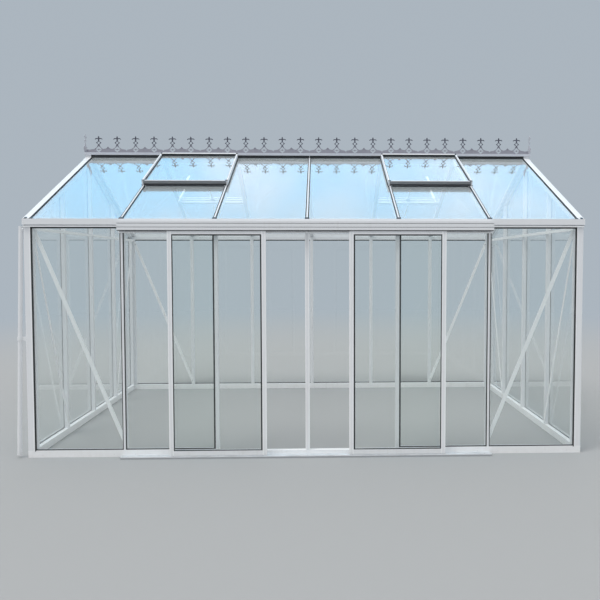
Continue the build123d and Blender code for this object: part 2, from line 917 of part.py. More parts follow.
with BuildPart() as vent_rails:
    with BuildSketch(*[slope_along.offset(x - vent_rail_length / 2) for x in vent_middles]):
        for edge, side in ((vent_foot, 1), (vent_head, -1)):
            with BuildLine():
                Polyline(
                    (edge, 0),
                    (edge + side * vent_frame, 0),
                    (edge + side * vent_frame, vent_seat_height),
                    (edge + side * (vent_frame - vent_seat), vent_seat_height),
                    (edge + side * (vent_frame - vent_seat), vent_frame_height),
                    (edge, vent_frame_height),
                    close=True,
                )
            make_face()
    extrude(amount=vent_rail_length)
    mirror(about=Plane.XZ)
vent_rails.part.label = "vent_rails"
export_step(vent_rails.part, "parts/vent_rails.step")

with BuildPart() as vent_glass:
    vent_pane_place = vent_frame - vent_seat + pane_clearance
    vent_pane_width = vent_width - 2 * vent_pane_place
    with BuildSketch(*[slope_along.offset(x - vent_pane_width / 2) for x in vent_middles]):
        with Locations((vent_foot + vent_pane_place, vent_seat_height)):
            Rectangle(
                vent_length - 2 * vent_pane_place,
                glass_thickness,
                align=(Align.MIN, Align.MIN),
            )
    extrude(amount=vent_pane_width)
    mirror(about=Plane.XZ)
vent_glass.part.label = "vent_glass"
export_step(vent_glass.part, "parts/vent_glass.step")

# Cross bar between two rafters under the foot of each vent, with an upstand behind the pane
with BuildPart() as vent_bars:
    vent_bar_length = bay - bar_body
    with BuildSketch(*[slope_along.offset(x - vent_bar_length / 2) for x in vent_middles]):
        with Locations((vent_foot - vent_lap, -body_face)):
            Rectangle(vent_bar_width, vent_bar_depth, align=(Align.MIN, Align.MAX))
        with Locations((vent_foot - vent_lap + vent_bar_wall, -body_face - vent_bar_wall)):
            Rectangle(
                vent_bar_width - 2 * vent_bar_wall,
                vent_bar_depth - 2 * vent_bar_wall,
                align=(Align.MIN, Align.MAX),
                mode=Mode.SUBTRACT,
            )
        with Locations((vent_foot + pane_clearance, -body_face)):
            Rectangle(vent_bar_wall, body_face - pane_seat, align=(Align.MIN, Align.MIN))
    extrude(amount=vent_bar_length)
    mirror(about=Plane.XZ)
vent_bars.part.label = "vent_bars"
export_step(vent_bars.part, "parts/vent_bars.step")

# Header track on the front gutter: a grooved cover in front, a longer back with the wheels' lip
track_top = header_bottom + track_level
with BuildPart() as door_header_track:
    with BuildSketch(front_section):
        with BuildLine():
            Polyline(
                (-header_reach, header_bottom),
                (-header_reach, header_bottom + header_height),
                (-gutter_reach, header_bottom + header_height),
                (-gutter_reach, header_bottom - header_back_drop),
                (-gutter_reach - header_wall, header_bottom - header_back_drop),
                (-gutter_reach - header_wall, track_top - header_wall),
                (-gutter_reach - header_wall - track_lip, track_top - header_wall),
                (-gutter_reach - header_wall - track_lip, track_top + track_lip_rise),
                (
                    -gutter_reach - header_wall - track_lip + track_lip_edge,
                    track_top + track_lip_rise,
                ),
                (-gutter_reach - header_wall - track_lip + track_lip_edge, track_top),
                (-gutter_reach - header_wall, track_top),
                (-gutter_reach - header_wall, header_bottom + header_height - header_wall),
                (-header_reach + header_wall, header_bottom + header_height - header_wall),
                (-header_reach + header_wall, header_bottom),
                close=True,
            )
        make_face()
        with Locations(
            (-header_reach, header_bottom + header_line_low),
            (-header_reach, header_bottom + header_line_high),
        ):
            Rectangle(2 * header_line_depth, header_line_width, mode=Mode.SUBTRACT)
    extrude(amount=track_length / 2, both=True)
door_header_track.part.label = "door_header_track"
export_step(door_header_track.part, "parts/door_header_track.step")

# Threshold in front of the base frame, with two ribs that keep the feet of the leaves in line
with BuildPart() as door_threshold:
    with BuildSketch(front_section):
        with Locations((0, 0)):
            Rectangle(threshold_reach, threshold_height, align=(Align.MAX, Align.MIN))
        with Locations((-threshold_edge, 0)):
            Rectangle(
                (threshold_reach - 3 * threshold_edge) / 2,
                threshold_height - threshold_wall,
                align=(Align.MAX, Align.MIN),
                mode=Mode.SUBTRACT,
            )
        with Locations((-threshold_reach + threshold_edge, 0)):
            Rectangle(
                (threshold_reach - 3 * threshold_edge) / 2,
                threshold_height - threshold_wall,
                align=(Align.MIN, Align.MIN),
                mode=Mode.SUBTRACT,
            )
        with Locations((-leaf_back_gap - leaf_thickness - threshold_rib_gap, threshold_height)):
            Rectangle(threshold_rib_width, threshold_rib_height, align=(Align.MAX, Align.MIN))
        with Locations((-leaf_back_gap + threshold_rib_gap, threshold_height)):
            Rectangle(threshold_rib_width, threshold_rib_height, align=(Align.MIN, Align.MIN))
    extrude(amount=track_length / 2, both=True)
door_threshold.part.label = "door_threshold"
export_step(door_threshold.part, "parts/door_threshold.step")

# Section of a leaf's stile, with its glazing groove, and of the two rails of a leaf
leaf_middle = -leaf_back_gap - leaf_thickness / 2
leaf_groove_width = glass_thickness + 2 * pane_seat
leaf_clear_height = leaf_top - leaf_bottom - leaf_top_rail - leaf_bottom_rail
leaf_pane_height = leaf_clear_height + 2 * leaf_groove - pane_seat - pane_clearance
with BuildSketch() as stile_section:
    Rectangle(leaf_stile, leaf_thickness)
    with Locations((leaf_stile / 2, 0)):
        Rectangle(
            leaf_groove,
            leaf_groove_width,
            align=(Align.MAX, Align.CENTER),
            mode=Mode.SUBTRACT,
        )
    with Locations((-leaf_stile / 2 + leaf_wall, 0)):
        Rectangle(
            leaf_stile - leaf_groove - 2 * leaf_wall,
            leaf_thickness - 2 * leaf_wall,
            align=(Align.MIN, Align.CENTER),
            mode=Mode.SUBTRACT,
        )
with BuildSketch() as rail_section:
    with Locations((leaf_middle, leaf_top)):
        Rectangle(leaf_thickness, leaf_top_rail, align=(Align.CENTER, Align.MAX))
    with Locations((leaf_middle, leaf_bottom)):
        Rectangle(leaf_thickness, leaf_bottom_rail, align=(Align.CENTER, Align.MIN))
    with Locations((leaf_middle, leaf_top - leaf_wall)):
        Rectangle(
            leaf_thickness - 2 * leaf_wall,
            leaf_top_rail - leaf_groove - 2 * leaf_wall,
            align=(Align.CENTER, Align.MAX),
            mode=Mode.SUBTRACT,
        )
    with Locations((leaf_middle, leaf_bottom + leaf_wall)):
        Rectangle(
            leaf_thickness - 2 * leaf_wall,
            leaf_bottom_rail - leaf_groove - 2 * leaf_wall,
            align=(Align.CENTER, Align.MIN),
            mode=Mode.SUBTRACT,
        )
    with Locations((leaf_middle, leaf_bottom + leaf_bottom_rail - leaf_groove)):
        Rectangle(
            leaf_groove_width,
            leaf_clear_height + 2 * leaf_groove,
            align=(Align.CENTER, Align.MIN),
            mode=Mode.SUBTRACT,
        )

# Left door leaf: stiles, rails and pane, then the two hangers with their wheels
with BuildPart() as left_door_stiles:
    with BuildSketch(Plane.XY.offset(leaf_bottom)):
        with Locations((left_leaf_place - (leaf_width - leaf_stile) / 2, -half_depth + leaf_middle)):
            add(stile_section.sketch)
        with Locations((left_leaf_place + (leaf_width - leaf_stile) / 2, -half_depth + leaf_middle)):
            add(stile_section.sketch, rotation=180)
    extrude(amount=leaf_top - leaf_bottom)
left_door_stiles.part.label = "left_door_stiles"
export_step(left_door_stiles.part, "parts/left_door_stiles.step")

with BuildPart() as left_door_rails:
    with BuildSketch(front_section.offset(left_leaf_place)):
        add(rail_section.sketch)
    extrude(amount=leaf_width / 2 - leaf_stile, both=True)
left_door_rails.part.label = "left_door_rails"
export_step(left_door_rails.part, "parts/left_door_rails.step")

with BuildPart() as left_door_glass:
    with BuildSketch(Plane.XY.offset(leaf_bottom + leaf_bottom_rail - leaf_groove + pane_seat)):
        with Locations((left_leaf_place, -half_depth + leaf_middle)):
            Rectangle(
                leaf_width - 2 * (leaf_stile - leaf_groove + pane_clearance),
                glass_thickness,
            )
    extrude(amount=leaf_pane_height)
left_door_glass.part.label = "left_door_glass"
export_step(left_door_glass.part, "parts/left_door_glass.step")

hanger_face = -half_depth - leaf_back_gap - leaf_thickness + hanger_setback
wheel_place = -half_depth - gutter_reach - header_wall - (track_lip - track_lip_edge) / 2
wheel_height = track_top + wheel_gap + wheel_radius
with BuildPart() as left_door_hangers:
    with BuildSketch(Plane.XY.offset(leaf_top)):
        with Locations((left_leaf_place, hanger_face)):
            with GridLocations(leaf_width - 2 * hanger_inset, 0, 2, 1):
                Rectangle(hanger_width, hanger_foot, align=(Align.CENTER, Align.MIN))
    extrude(amount=hanger_thickness)
    with BuildSketch(Plane.XY.offset(leaf_top)):
        with Locations((left_leaf_place, hanger_face)):
            with GridLocations(leaf_width - 2 * hanger_inset, 0, 2, 1):
                Rectangle(hanger_width, hanger_thickness, align=(Align.CENTER, Align.MIN))
    extrude(amount=hanger_rise)
    with BuildSketch(
        Plane(
            origin=(left_leaf_place, wheel_place + wheel_width / 2, wheel_height),
            x_dir=(1, 0, 0),
            z_dir=(0, -1, 0),
        )
    ) as wheel_face:
        with GridLocations(leaf_width - 2 * hanger_inset, 0, 2, 1):
            RegularPolygon(wheel_radius, wheel_facets)
    extrude(amount=wheel_width)
    with BuildSketch(
        Plane(
            origin=(left_leaf_place, wheel_place, wheel_height),
            x_dir=(1, 0, 0),
            z_dir=(0, -1, 0),
        )
    ):
        with GridLocations(leaf_width - 2 * hanger_inset, 0, 2, 1):
            RegularPolygon(axle_radius, axle_facets)
    extrude(amount=wheel_place - hanger_face - hanger_thickness / 2)
left_door_hangers.part.label = "left_door_hangers"
export_step(left_door_hangers.part, "parts/left_door_hangers.step")

# Right door leaf, the same pieces along the track
leaf_spacing = right_leaf_place - left_leaf_place
with BuildPart() as right_door_stiles:
    with Locations((leaf_spacing, 0, 0)):
        add(left_door_stiles.part)
right_door_stiles.part.label = "right_door_stiles"
export_step(right_door_stiles.part, "parts/right_door_stiles.step")

with BuildPart() as right_door_rails:
    with Locations((leaf_spacing, 0, 0)):
        add(left_door_rails.part)
right_door_rails.part.label = "right_door_rails"
export_step(right_door_rails.part, "parts/right_door_rails.step")

with BuildPart() as right_door_glass:
    with Locations((leaf_spacing, 0, 0)):
        add(left_door_glass.part)
right_door_glass.part.label = "right_door_glass"
export_step(right_door_glass.part, "parts/right_door_glass.step")

with BuildPart() as right_door_hangers:
    with Locations((leaf_spacing, 0, 0)):
        add(left_door_hangers.part)
right_door_hangers.part.label = "right_door_hangers"
export_step(right_door_hangers.part, "parts/right_door_hangers.step")

# Flat braces on the inside, from the head of each corner post to the foot of the next post
brace_head = post_top - brace_top_drop
brace_foot = sill_height + brace_foot_rise
with BuildPart() as wall_braces:
    wall_brace_run = half_length - brace_corner_inset - 2 * bay
    with BuildSketch(
        Plane(origin=(0, -half_depth + bar_depth, 0), x_dir=(-1, 0, 0), z_dir=(0, 1, 0))
    ):
        with Locations((2 * bay + wall_brace_run / 2, (brace_head + brace_foot) / 2)):
            Rectangle(
                math.hypot(wall_brace_run, brace_head - brace_foot) + 2 * brace_end,
                brace_width,
                rotation=math.degrees(math.atan2(brace_head - brace_foot, wall_brace_run)),
            )
        mirror(about=Plane.YZ)
    extrude(amount=brace_thickness)
    mirror(about=Plane.XZ)
wall_braces.part.label = "wall_braces"
export_step(wall_braces.part, "parts/wall_braces.step")

with BuildPart() as gable_braces:
    gable_brace_run = half_depth - brace_corner_inset - bay
    with BuildSketch(
        Plane(origin=(-half_length + bar_depth, 0, 0), x_dir=(0, 1, 0), z_dir=(1, 0, 0))
    ):
        with Locations((bay + gable_brace_run / 2, (brace_head + brace_foot) / 2)):
            Rectangle(
                math.hypot(gable_brace_run, brace_head - brace_foot) + 2 * brace_end,
                brace_width,
                rotation=math.degrees(math.atan2(brace_head - brace_foot, gable_brace_run)),
            )
        mirror(about=Plane.YZ)
    extrude(amount=brace_thickness)
    mirror(about=Plane.YZ)
gable_braces.part.label = "gable_braces"
export_step(gable_braces.part, "parts/gable_braces.step")

# Rainwater pipes: a capped, leaning pipe, its entry from the head of the post, and a clip
pipe_offset = pipe_wall_gap + pipe_radius
pipe_top = eave_height - pipe_top_drop
lean_sine = math.sin(math.radians(pipe_lean))
lean_cosine = math.cos(math.radians(pipe_lean))
clip_offset = pipe_offset + (pipe_top - clip_place) * lean_sine / lean_cosine
with BuildPart() as downpipes:
    with BuildSketch(
        Plane(
            origin=(-half_length - pipe_offset, -half_depth + pipe_inset, pipe_top),
            z_dir=(-lean_sine, 0, -lean_cosine),
        )
    ):
        Circle(pipe_radius)
    extrude(amount=(pipe_top - pipe_foot) / lean_cosine)
    with BuildSketch(
        Plane(
            origin=(-half_length, -half_depth + pipe_inset, eave_height - pipe_entry_drop),
            z_dir=(-1, 0, 0),
        )
    ):
        Circle(pipe_entry_radius)
    extrude(amount=pipe_offset)
    with BuildSketch(Plane.XY.offset(clip_place)):
        with Locations((-half_length - clip_offset, -half_depth + pipe_inset)):
            RegularPolygon(pipe_radius + clip_rim, clip_facets)
            Rectangle(clip_offset, clip_tongue, align=(Align.MIN, Align.CENTER))
    extrude(amount=clip_height)
    add(downpipes.part.rotate(Axis.Z, 180))
downpipes.part.label = "downpipes"
export_step(downpipes.part, "parts/downpipes.step")
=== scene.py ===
import math

import bmesh
import bpy
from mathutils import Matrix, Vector


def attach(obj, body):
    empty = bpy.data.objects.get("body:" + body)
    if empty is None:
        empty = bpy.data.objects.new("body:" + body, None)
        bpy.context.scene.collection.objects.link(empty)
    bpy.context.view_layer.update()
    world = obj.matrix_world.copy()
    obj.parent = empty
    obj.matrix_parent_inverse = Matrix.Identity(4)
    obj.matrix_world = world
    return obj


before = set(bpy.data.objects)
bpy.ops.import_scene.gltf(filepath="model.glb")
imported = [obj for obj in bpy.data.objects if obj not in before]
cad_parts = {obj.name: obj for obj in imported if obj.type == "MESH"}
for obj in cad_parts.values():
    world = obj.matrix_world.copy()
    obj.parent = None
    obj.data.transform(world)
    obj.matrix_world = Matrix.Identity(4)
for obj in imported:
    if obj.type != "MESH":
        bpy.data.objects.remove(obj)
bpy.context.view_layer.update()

# Camera. The viewpoint of the photograph: standing a little right of the middle of the house,
# 5.5 m in front of the doors, looking level and slightly towards the right gable.
garden_view = bpy.data.cameras.new("garden_view")
garden_view.lens = 40.737
garden_view.sensor_width = 36.0
garden_view.shift_x = -0.0682
garden_view.shift_y = -0.0081
viewpoint = bpy.data.objects.new("garden_view", garden_view)
viewpoint.location = (0.1016, -6.9957, 1.5694)
viewpoint.rotation_euler = (math.radians(87.27), math.radians(0.05), math.radians(-1.78))
bpy.context.scene.collection.objects.link(viewpoint)
bpy.context.scene.camera = viewpoint
bpy.context.scene.view_settings.view_transform = "Standard"

# Ground and light. A plain pale floor that fades into the same pale tone far out, an even
# sky that turns lighter high up, where only the panes mirror it, and one large soft lamp.
pale_tone = (0.41, 0.465, 0.52)
floor_radius = 60
soft_lamp_from = Vector((-0.45, -0.35, 1.0))


def new_material(name):
    material = bpy.data.materials.new(name)
    material.use_nodes = True
    material.node_tree.nodes.clear()
    return material, material.node_tree.nodes, material.node_tree.links


def add_node(made, kind, operation=None, **values):
    """Add a shader node; each value goes to the input of its name, with _ for a space."""
    node = made.new("ShaderNode" + kind)
    if operation:
        node.operation = operation
    for name, value in values.items():
        node.inputs[name.replace("_", " ")].default_value = value
    return node


def soft_range(made, low, high):
    """Turn low to high into 0 to 1, easing in and out."""
    eased = add_node(made, "MapRange", From_Min=low, From_Max=high)
    eased.interpolation_type = "SMOOTHSTEP"
    return eased


def colour_mix(made, first=None, second=None):
    """A node that mixes two colours; one that isn't given is linked to later."""
    mix = add_node(made, "Mix")
    mix.data_type = "RGBA"
    for side, colour in (("A", first), ("B", second)):
        if colour:
            mix.inputs[side].default_value = (*colour, 1)
    return mix


floor_paint, made, links = new_material("studio_floor")
near_floor = add_node(made, "BsdfDiffuse", Color=(0.41, 0.42, 0.425, 1))
far_floor = add_node(made, "Emission", Color=(*pale_tone, 1))
place = add_node(made, "TexCoord")
reach = add_node(made, "VectorMath", "LENGTH")
fade = soft_range(made, 4.0, 16.0)
whole_floor = add_node(made, "MixShader")
out = add_node(made, "OutputMaterial")
links.new(place.outputs["Object"], reach.inputs[0])
links.new(reach.outputs["Value"], fade.inputs["Value"])
links.new(fade.outputs["Result"], whole_floor.inputs["Fac"])
links.new(near_floor.outputs[0], whole_floor.inputs[1])
links.new(far_floor.outputs[0], whole_floor.inputs[2])
links.new(whole_floor.outputs[0], out.inputs["Surface"])
floor_mesh = bpy.data.meshes.new("studio_floor")
shape = bmesh.new()
bmesh.ops.create_circle(shape, cap_ends=True, segments=64, radius=floor_radius)
shape.to_mesh(floor_mesh)
shape.free()
floor_mesh.materials.append(floor_paint)
studio_floor = bpy.data.objects.new("studio_floor", floor_mesh)
bpy.context.scene.collection.objects.link(studio_floor)

studio_sky = bpy.data.worlds.new("studio_sky")
bpy.context.scene.world = studio_sky
studio_sky.use_nodes = True
studio_sky.node_tree.nodes.clear()
made, links = studio_sky.node_tree.nodes, studio_sky.node_tree.links
direction = add_node(made, "TexCoord")
split = add_node(made, "SeparateXYZ")
height = soft_range(made, 0.42, 0.72)
veil = add_node(made, "TexNoise", Scale=2.6, Detail=5.0)
veil_edge = soft_range(made, 0.36, 0.66)
high_sky = colour_mix(made, (0.64, 1.38, 2.0), (1.70, 1.82, 2.0))
shown_sky = colour_mix(made, pale_tone)
shown = add_node(made, "Background")
lighting = add_node(made, "Background", Color=(0.95, 0.975, 1.0, 1))
overhead = add_node(made, "MapRange", To_Min=0.62, To_Max=1.02)
ray = add_node(made, "LightPath")
seen_or_mirrored = add_node(made, "Math", "MAXIMUM")
seen_at_all = add_node(made, "Math", "MAXIMUM")
both_skies = add_node(made, "MixShader")
out = add_node(made, "OutputWorld")
links.new(direction.outputs["Generated"], split.inputs["Vector"])
links.new(direction.outputs["Generated"], veil.inputs["Vector"])
links.new(split.outputs["Z"], height.inputs["Value"])
links.new(split.outputs["Z"], overhead.inputs["Value"])
links.new(overhead.outputs["Result"], lighting.inputs["Strength"])
links.new(veil.outputs["Fac"], veil_edge.inputs["Value"])
links.new(veil_edge.outputs["Result"], high_sky.inputs["Factor"])
links.new(height.outputs["Result"], shown_sky.inputs["Factor"])
links.new(high_sky.outputs["Result"], shown_sky.inputs["B"])
links.new(shown_sky.outputs["Result"], shown.inputs["Color"])
links.new(ray.outputs["Is Camera Ray"], seen_or_mirrored.inputs[0])
links.new(ray.outputs["Is Glossy Ray"], seen_or_mirrored.inputs[1])
links.new(seen_or_mirrored.outputs[0], seen_at_all.inputs[0])
links.new(ray.outputs["Is Transmission Ray"], seen_at_all.inputs[1])
links.new(seen_at_all.outputs[0], both_skies.inputs["Fac"])
links.new(lighting.outputs[0], both_skies.inputs[1])
links.new(shown.outputs[0], both_skies.inputs[2])
links.new(both_skies.outputs[0], out.inputs["Surface"])

lamp = bpy.data.lights.new("soft_lamp", "SUN")
lamp.energy = 1.1
lamp.angle = math.radians(25)
lamp.color = (1.0, 0.98, 0.95)
soft_lamp = bpy.data.objects.new("soft_lamp", lamp)
soft_lamp.visible_glossy = False
soft_lamp.rotation_euler = soft_lamp_from.to_track_quat("Z", "Y").to_euler()
bpy.context.scene.collection.objects.link(soft_lamp)

# Base frame. Four lengths of extruded aluminium box, mitred at the corners and baked with a
# satin white powder coat, which has a fine orange-peel skin and takes splashes near the ground.


def powder_coat(name, colour, unevenness=0.03, relief=0.0004):
    """Satin paint: a faint mottle, rain runs, dust at the foot and an orange-peel skin."""
    coat, made, links = new_material(name)
    skin = add_node(made, "BsdfPrincipled")
    place = add_node(made, "TexCoord")
    parts = add_node(made, "SeparateXYZ")
    drift = add_node(made, "TexNoise", Scale=3.5, Detail=4.0)
    mottle = colour_mix(made, [c * (1 - unevenness) for c in colour], colour)
    hang = add_node(made, "Mapping", Scale=(55, 55, 1.1))
    runs = add_node(made, "TexNoise", Scale=1.0, Detail=3.0)
    run_edge = add_node(made, "MapRange", From_Min=0.56, From_Max=0.80, To_Max=0.22)
    streaked = colour_mix(made, None, (0.62, 0.62, 0.59))
    foot = add_node(made, "MapRange", From_Min=0.14, From_Max=0.0, To_Max=0.26)
    splash = add_node(made, "TexNoise", Scale=30.0, Detail=6.0)
    amount = add_node(made, "Math", "MULTIPLY")
    dusted = colour_mix(made, None, (0.50, 0.48, 0.44))
    grain = add_node(made, "TexNoise", Scale=650.0, Detail=2.0)
    peel = add_node(made, "Bump", Strength=0.25, Distance=relief)
    sheen = add_node(made, "MapRange", To_Min=0.34, To_Max=0.48)
    out = add_node(made, "OutputMaterial")
    for looked_up in (parts, drift, hang, splash, grain):
        links.new(place.outputs["Object"], looked_up.inputs["Vector"])
    links.new(drift.outputs["Fac"], mottle.inputs["Factor"])
    links.new(hang.outputs["Vector"], runs.inputs["Vector"])
    links.new(runs.outputs["Fac"], run_edge.inputs["Value"])
    links.new(run_edge.outputs["Result"], streaked.inputs["Factor"])
    links.new(mottle.outputs["Result"], streaked.inputs["A"])
    links.new(parts.outputs["Z"], foot.inputs["Value"])
    links.new(foot.outputs["Result"], amount.inputs[0])
    links.new(splash.outputs["Fac"], amount.inputs[1])
    links.new(amount.outputs[0], dusted.inputs["Factor"])
    links.new(streaked.outputs["Result"], dusted.inputs["A"])
    links.new(dusted.outputs["Result"], skin.inputs["Base Color"])
    links.new(grain.outputs["Fac"], peel.inputs["Height"])
    links.new(peel.outputs["Normal"], skin.inputs["Normal"])
    links.new(drift.outputs["Fac"], sheen.inputs["Value"])
    links.new(sheen.outputs["Result"], skin.inputs["Roughness"])
    links.new(skin.outputs[0], out.inputs["Surface"])
    return coat


def finish_nodes(material, *nodes):
    for node in nodes:
        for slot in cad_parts[node].material_slots:
            slot.material = material


white_coat = powder_coat("white_powder_coat", (0.83, 0.84, 0.86))
# The sill takes a lighter copy of the same white coat: painted light.
sill_coat_with_painted_light = powder_coat("sill_coat_with_painted_light", (0.95, 0.955, 0.965), 0.025)
finish_nodes(sill_coat_with_painted_light, "front_sill", "rear_sill", "left_sill", "right_sill")

# Posts. Extruded glazing bars and hollow corner angles in the same white coat, standing on
# the base frame and screwed to it from inside through small cleats.
finish_nodes(
    white_coat, "corner_posts", "front_wall_posts", "rear_wall_posts", "left_gable_posts",
    "right_gable_posts",
)

# Eave beams and gable rails. The beams carry the gutters and are closed by a plate at each
# end; the rails tie the gable posts together inside. All are extruded and coated white.
finish_nodes(white_coat, "front_gutter", "rear_gutter")
# A lighter copy of the white coat, painted light: it brightens the gable rails, braces and vent
# stays inside the house and the drip strips in the shade under the gutters.
painted_light_white_coat = powder_coat("white_coat_with_painted_light", (0.95, 0.955, 0.965), 0.02)
finish_nodes(painted_light_white_coat, "left_gable_rail", "right_gable_rail")

# Rafters and ridge. Glazing bars run up the slopes from over the gutters to the ridge beam,
# with a hollow angle along each gable and a plate over the joint at each apex. The beam's cap
# is a light grey.
finish_nodes(
    white_coat, "front_rafters", "rear_rafters", "left_end_rafters", "right_end_rafters",
    "apex_plates",
)
ridge_cap_foot = 2.657


def second_tone(material, name, start, full, colour):
    """A copy of a coat that turns to another colour between two heights."""
    coat = material.copy()
    coat.name = name
    made, links = coat.node_tree.nodes, coat.node_tree.links
    skin = next(node for node in made if node.type == "BSDF_PRINCIPLED")
    first_tone = skin.inputs["Base Color"].links[0].from_socket
    place = add_node(made, "TexCoord")
    parts = add_node(made, "SeparateXYZ")
    turn = add_node(made, "MapRange", From_Min=start, From_Max=full)
    both_tones = colour_mix(made, None, colour)
    links.new(place.outputs["Object"], parts.inputs["Vector"])
    links.new(parts.outputs["Z"], turn.inputs["Value"])
    links.new(turn.outputs["Result"], both_tones.inputs["Factor"])
    links.new(first_tone, both_tones.inputs["A"])
    links.new(both_tones.outputs["Result"], skin.inputs["Base Color"])
    return coat


ridge_coat = second_tone(
    white_coat, "ridge_beam_coat", ridge_cap_foot - 0.0005, ridge_cap_foot + 0.0005,
    (0.60, 0.62, 0.68),
)
finish_nodes(ridge_coat, "ridge_beam")

# Cresting. Thin castings stand in a row on the ridge cap, with one finial across each end, in
# a matt grey paint with a trace of violet that turns darker towards the tips.
casting_grey = powder_coat("casting_grey", (0.34, 0.335, 0.385), 0.12, 0.001)
cresting_paint = second_tone(
    casting_grey, "cresting_paint", 2.715, 2.775, (0.085, 0.085, 0.115),
)
finial_paint = powder_coat("finial_paint", (0.52, 0.52, 0.57), 0.12, 0.001)
finish_nodes(cresting_paint, "ridge_cresting")
finish_nodes(finial_paint, "ridge_finials")

# Panes. Toughened float glass, 4 mm thick: clear with a faint green, more mirror-like at a
# low angle, and with a weak film of dust where rain has dried.
pane_glass, made, links = new_material("clear_pane_glass")
see_through = add_node(made, "BsdfTransparent", Color=(0.986, 0.997, 0.992, 1))
mirror_shine = add_node(made, "BsdfGlossy", Color=(0.97, 0.985, 1.0, 1), Roughness=0.01)
tilt = add_node(made, "LayerWeight", Blend=0.5)
steep = add_node(made, "Math", "POWER")
steep.inputs[1].default_value = 4.0
mirror_share = add_node(made, "MapRange", To_Min=0.022, To_Max=0.95)
pane = add_node(made, "MixShader")
dust_film = add_node(made, "BsdfDiffuse", Color=(0.75, 0.78, 0.80, 1))
place = add_node(made, "TexCoord")
smear = add_node(made, "TexNoise", Scale=2.2, Detail=5.0)
film_share = add_node(made, "MapRange", From_Min=0.42, From_Max=0.80, To_Max=0.02)
dusty_pane = add_node(made, "MixShader")
out = add_node(made, "OutputMaterial")
links.new(tilt.outputs["Facing"], steep.inputs[0])
links.new(steep.outputs[0], mirror_share.inputs["Value"])
links.new(mirror_share.outputs["Result"], pane.inputs["Fac"])
links.new(see_through.outputs[0], pane.inputs[1])
links.new(mirror_shine.outputs[0], pane.inputs[2])
links.new(place.outputs["Object"], smear.inputs["Vector"])
links.new(smear.outputs["Fac"], film_share.inputs["Value"])
links.new(film_share.outputs["Result"], dusty_pane.inputs["Fac"])
links.new(pane.outputs[0], dusty_pane.inputs[1])
links.new(dust_film.outputs[0], dusty_pane.inputs[2])
links.new(dusty_pane.outputs[0], out.inputs["Surface"])
finish_nodes(
    pane_glass, "front_wall_glass", "rear_wall_glass", "left_gable_glass", "right_gable_glass",
    "front_roof_glass", "rear_roof_glass", "vent_glass", "left_door_glass", "right_door_glass",
)

# Glazing rubbers of the walls. Black wedge strips pushed in between the cap of each bar and
# the pane, with a short lip that lies on the glass, butted at the corners. A cover strip is
# clipped beside each corner post, and a drip strip runs along under both gutters.
half_length = 2.251
half_depth = 1.511
bay = 0.740
pitch = math.radians(25.3)
eave = 1.930
cap_depth = 0.003
pane_depth = 0.0054
sill_top = 0.058
beam_foot = 1.856
corner_face = 0.055
web = 0.003
tuck = 0.006
cover_stop = 0.0065
drip_stop = 0.0025
up = Vector((0, 0, 1))
ridgeways = Vector((1, 0, 0))

black_rubber, made, links = new_material("black_rubber")
skin = add_node(made, "BsdfPrincipled")
place = add_node(made, "TexCoord")
bloom = add_node(made, "TexNoise", Scale=14.0, Detail=5.0)
rubber_tone = colour_mix(made, (0.012, 0.012, 0.013), (0.035, 0.036, 0.038))
pores = add_node(made, "TexNoise", Scale=900.0)
rubber_skin = add_node(made, "Bump", Strength=0.3, Distance=0.0003)
rubber_rough = add_node(made, "MapRange", To_Min=0.50, To_Max=0.72)
out = add_node(made, "OutputMaterial")
links.new(place.outputs["Object"], bloom.inputs["Vector"])
links.new(bloom.outputs["Fac"], rubber_tone.inputs["Factor"])
links.new(rubber_tone.outputs["Result"], skin.inputs["Base Color"])
links.new(bloom.outputs["Fac"], rubber_rough.inputs["Value"])
links.new(rubber_rough.outputs["Result"], skin.inputs["Roughness"])
links.new(place.outputs["Object"], pores.inputs["Vector"])
links.new(pores.outputs["Fac"], rubber_skin.inputs["Height"])
links.new(rubber_skin.outputs["Normal"], skin.inputs["Normal"])
links.new(skin.outputs[0], out.inputs["Surface"])


def lay_strip(shape, start, end, across, outward, section):
    """Extrude a closed section, given as (across, outward) pairs, from start to end."""
    first = [shape.verts.new(start + across * a + outward * o) for a, o in section]
    last = [shape.verts.new(end + across * a + outward * o) for a, o in section]
    shape.faces.new(first)
    shape.faces.new(last[::-1])
    for i in range(len(section)):
        j = (i + 1) % len(section)
        shape.faces.new((first[j], first[i], last[i], last[j]))


def fit_piece(shape, name, material, body):
    """Turn a built shape into a piece that rides on a body."""
    bmesh.ops.recalc_face_normals(shape, faces=shape.faces)
    mesh = bpy.data.meshes.new(name)
    shape.to_mesh(mesh)
    shape.free()
    mesh.materials.append(material)
    piece = bpy.data.objects.new(name, mesh)
    bpy.context.scene.collection.objects.link(piece)
    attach(piece, body)


def wedge(inner, cap_edge, lip):
    """Section of a glazing rubber: under the cap from inner to cap_edge, then a lip."""
    return (
        (inner, -pane_depth),
        (inner, -cap_depth - 0.0001),
        (cap_edge, -cap_depth - 0.0001),
        (cap_edge + 0.0006, -0.0017),
        (cap_edge + 0.45 * (lip - cap_edge), -0.0021),
        (lip - 0.0008, -0.0040),
        (lip, -0.0050),
        (lip, -pane_depth),
    )


bar_rubber = wedge(web, 0.0086, 0.0160)
jamb_rubber = wedge(web, 0.0071, 0.0205)
sill_rubber = wedge(-tuck, 0.0001, 0.0090)
eave_rubber = wedge(-0.0070, 0.0001, 0.0115)
corner_rubber = (
    (0.0622, -pane_depth), (0.0622, 0.0002), (0.0545, 0.0002), (0.0545, 0.0014),
    (0.0558, 0.0020), (0.0624, 0.0018), (0.0640, -0.0010), (0.0652, -0.0044),
    (0.0655, -pane_depth),
)
cover_strip = (
    (0.0450, 0.0001), (0.0450, 0.0018), (0.0460, 0.0026), (0.0530, 0.0026), (0.0540, 0.0018),
    (0.0540, 0.0001),
)
drip_strip = (
    (0.0006, 0.0001), (0.0006, 0.0165), (0.0014, 0.0175), (0.0078, 0.0175), (0.0088, 0.0165),
    (0.0110, 0.0001),
)
covers = bmesh.new()


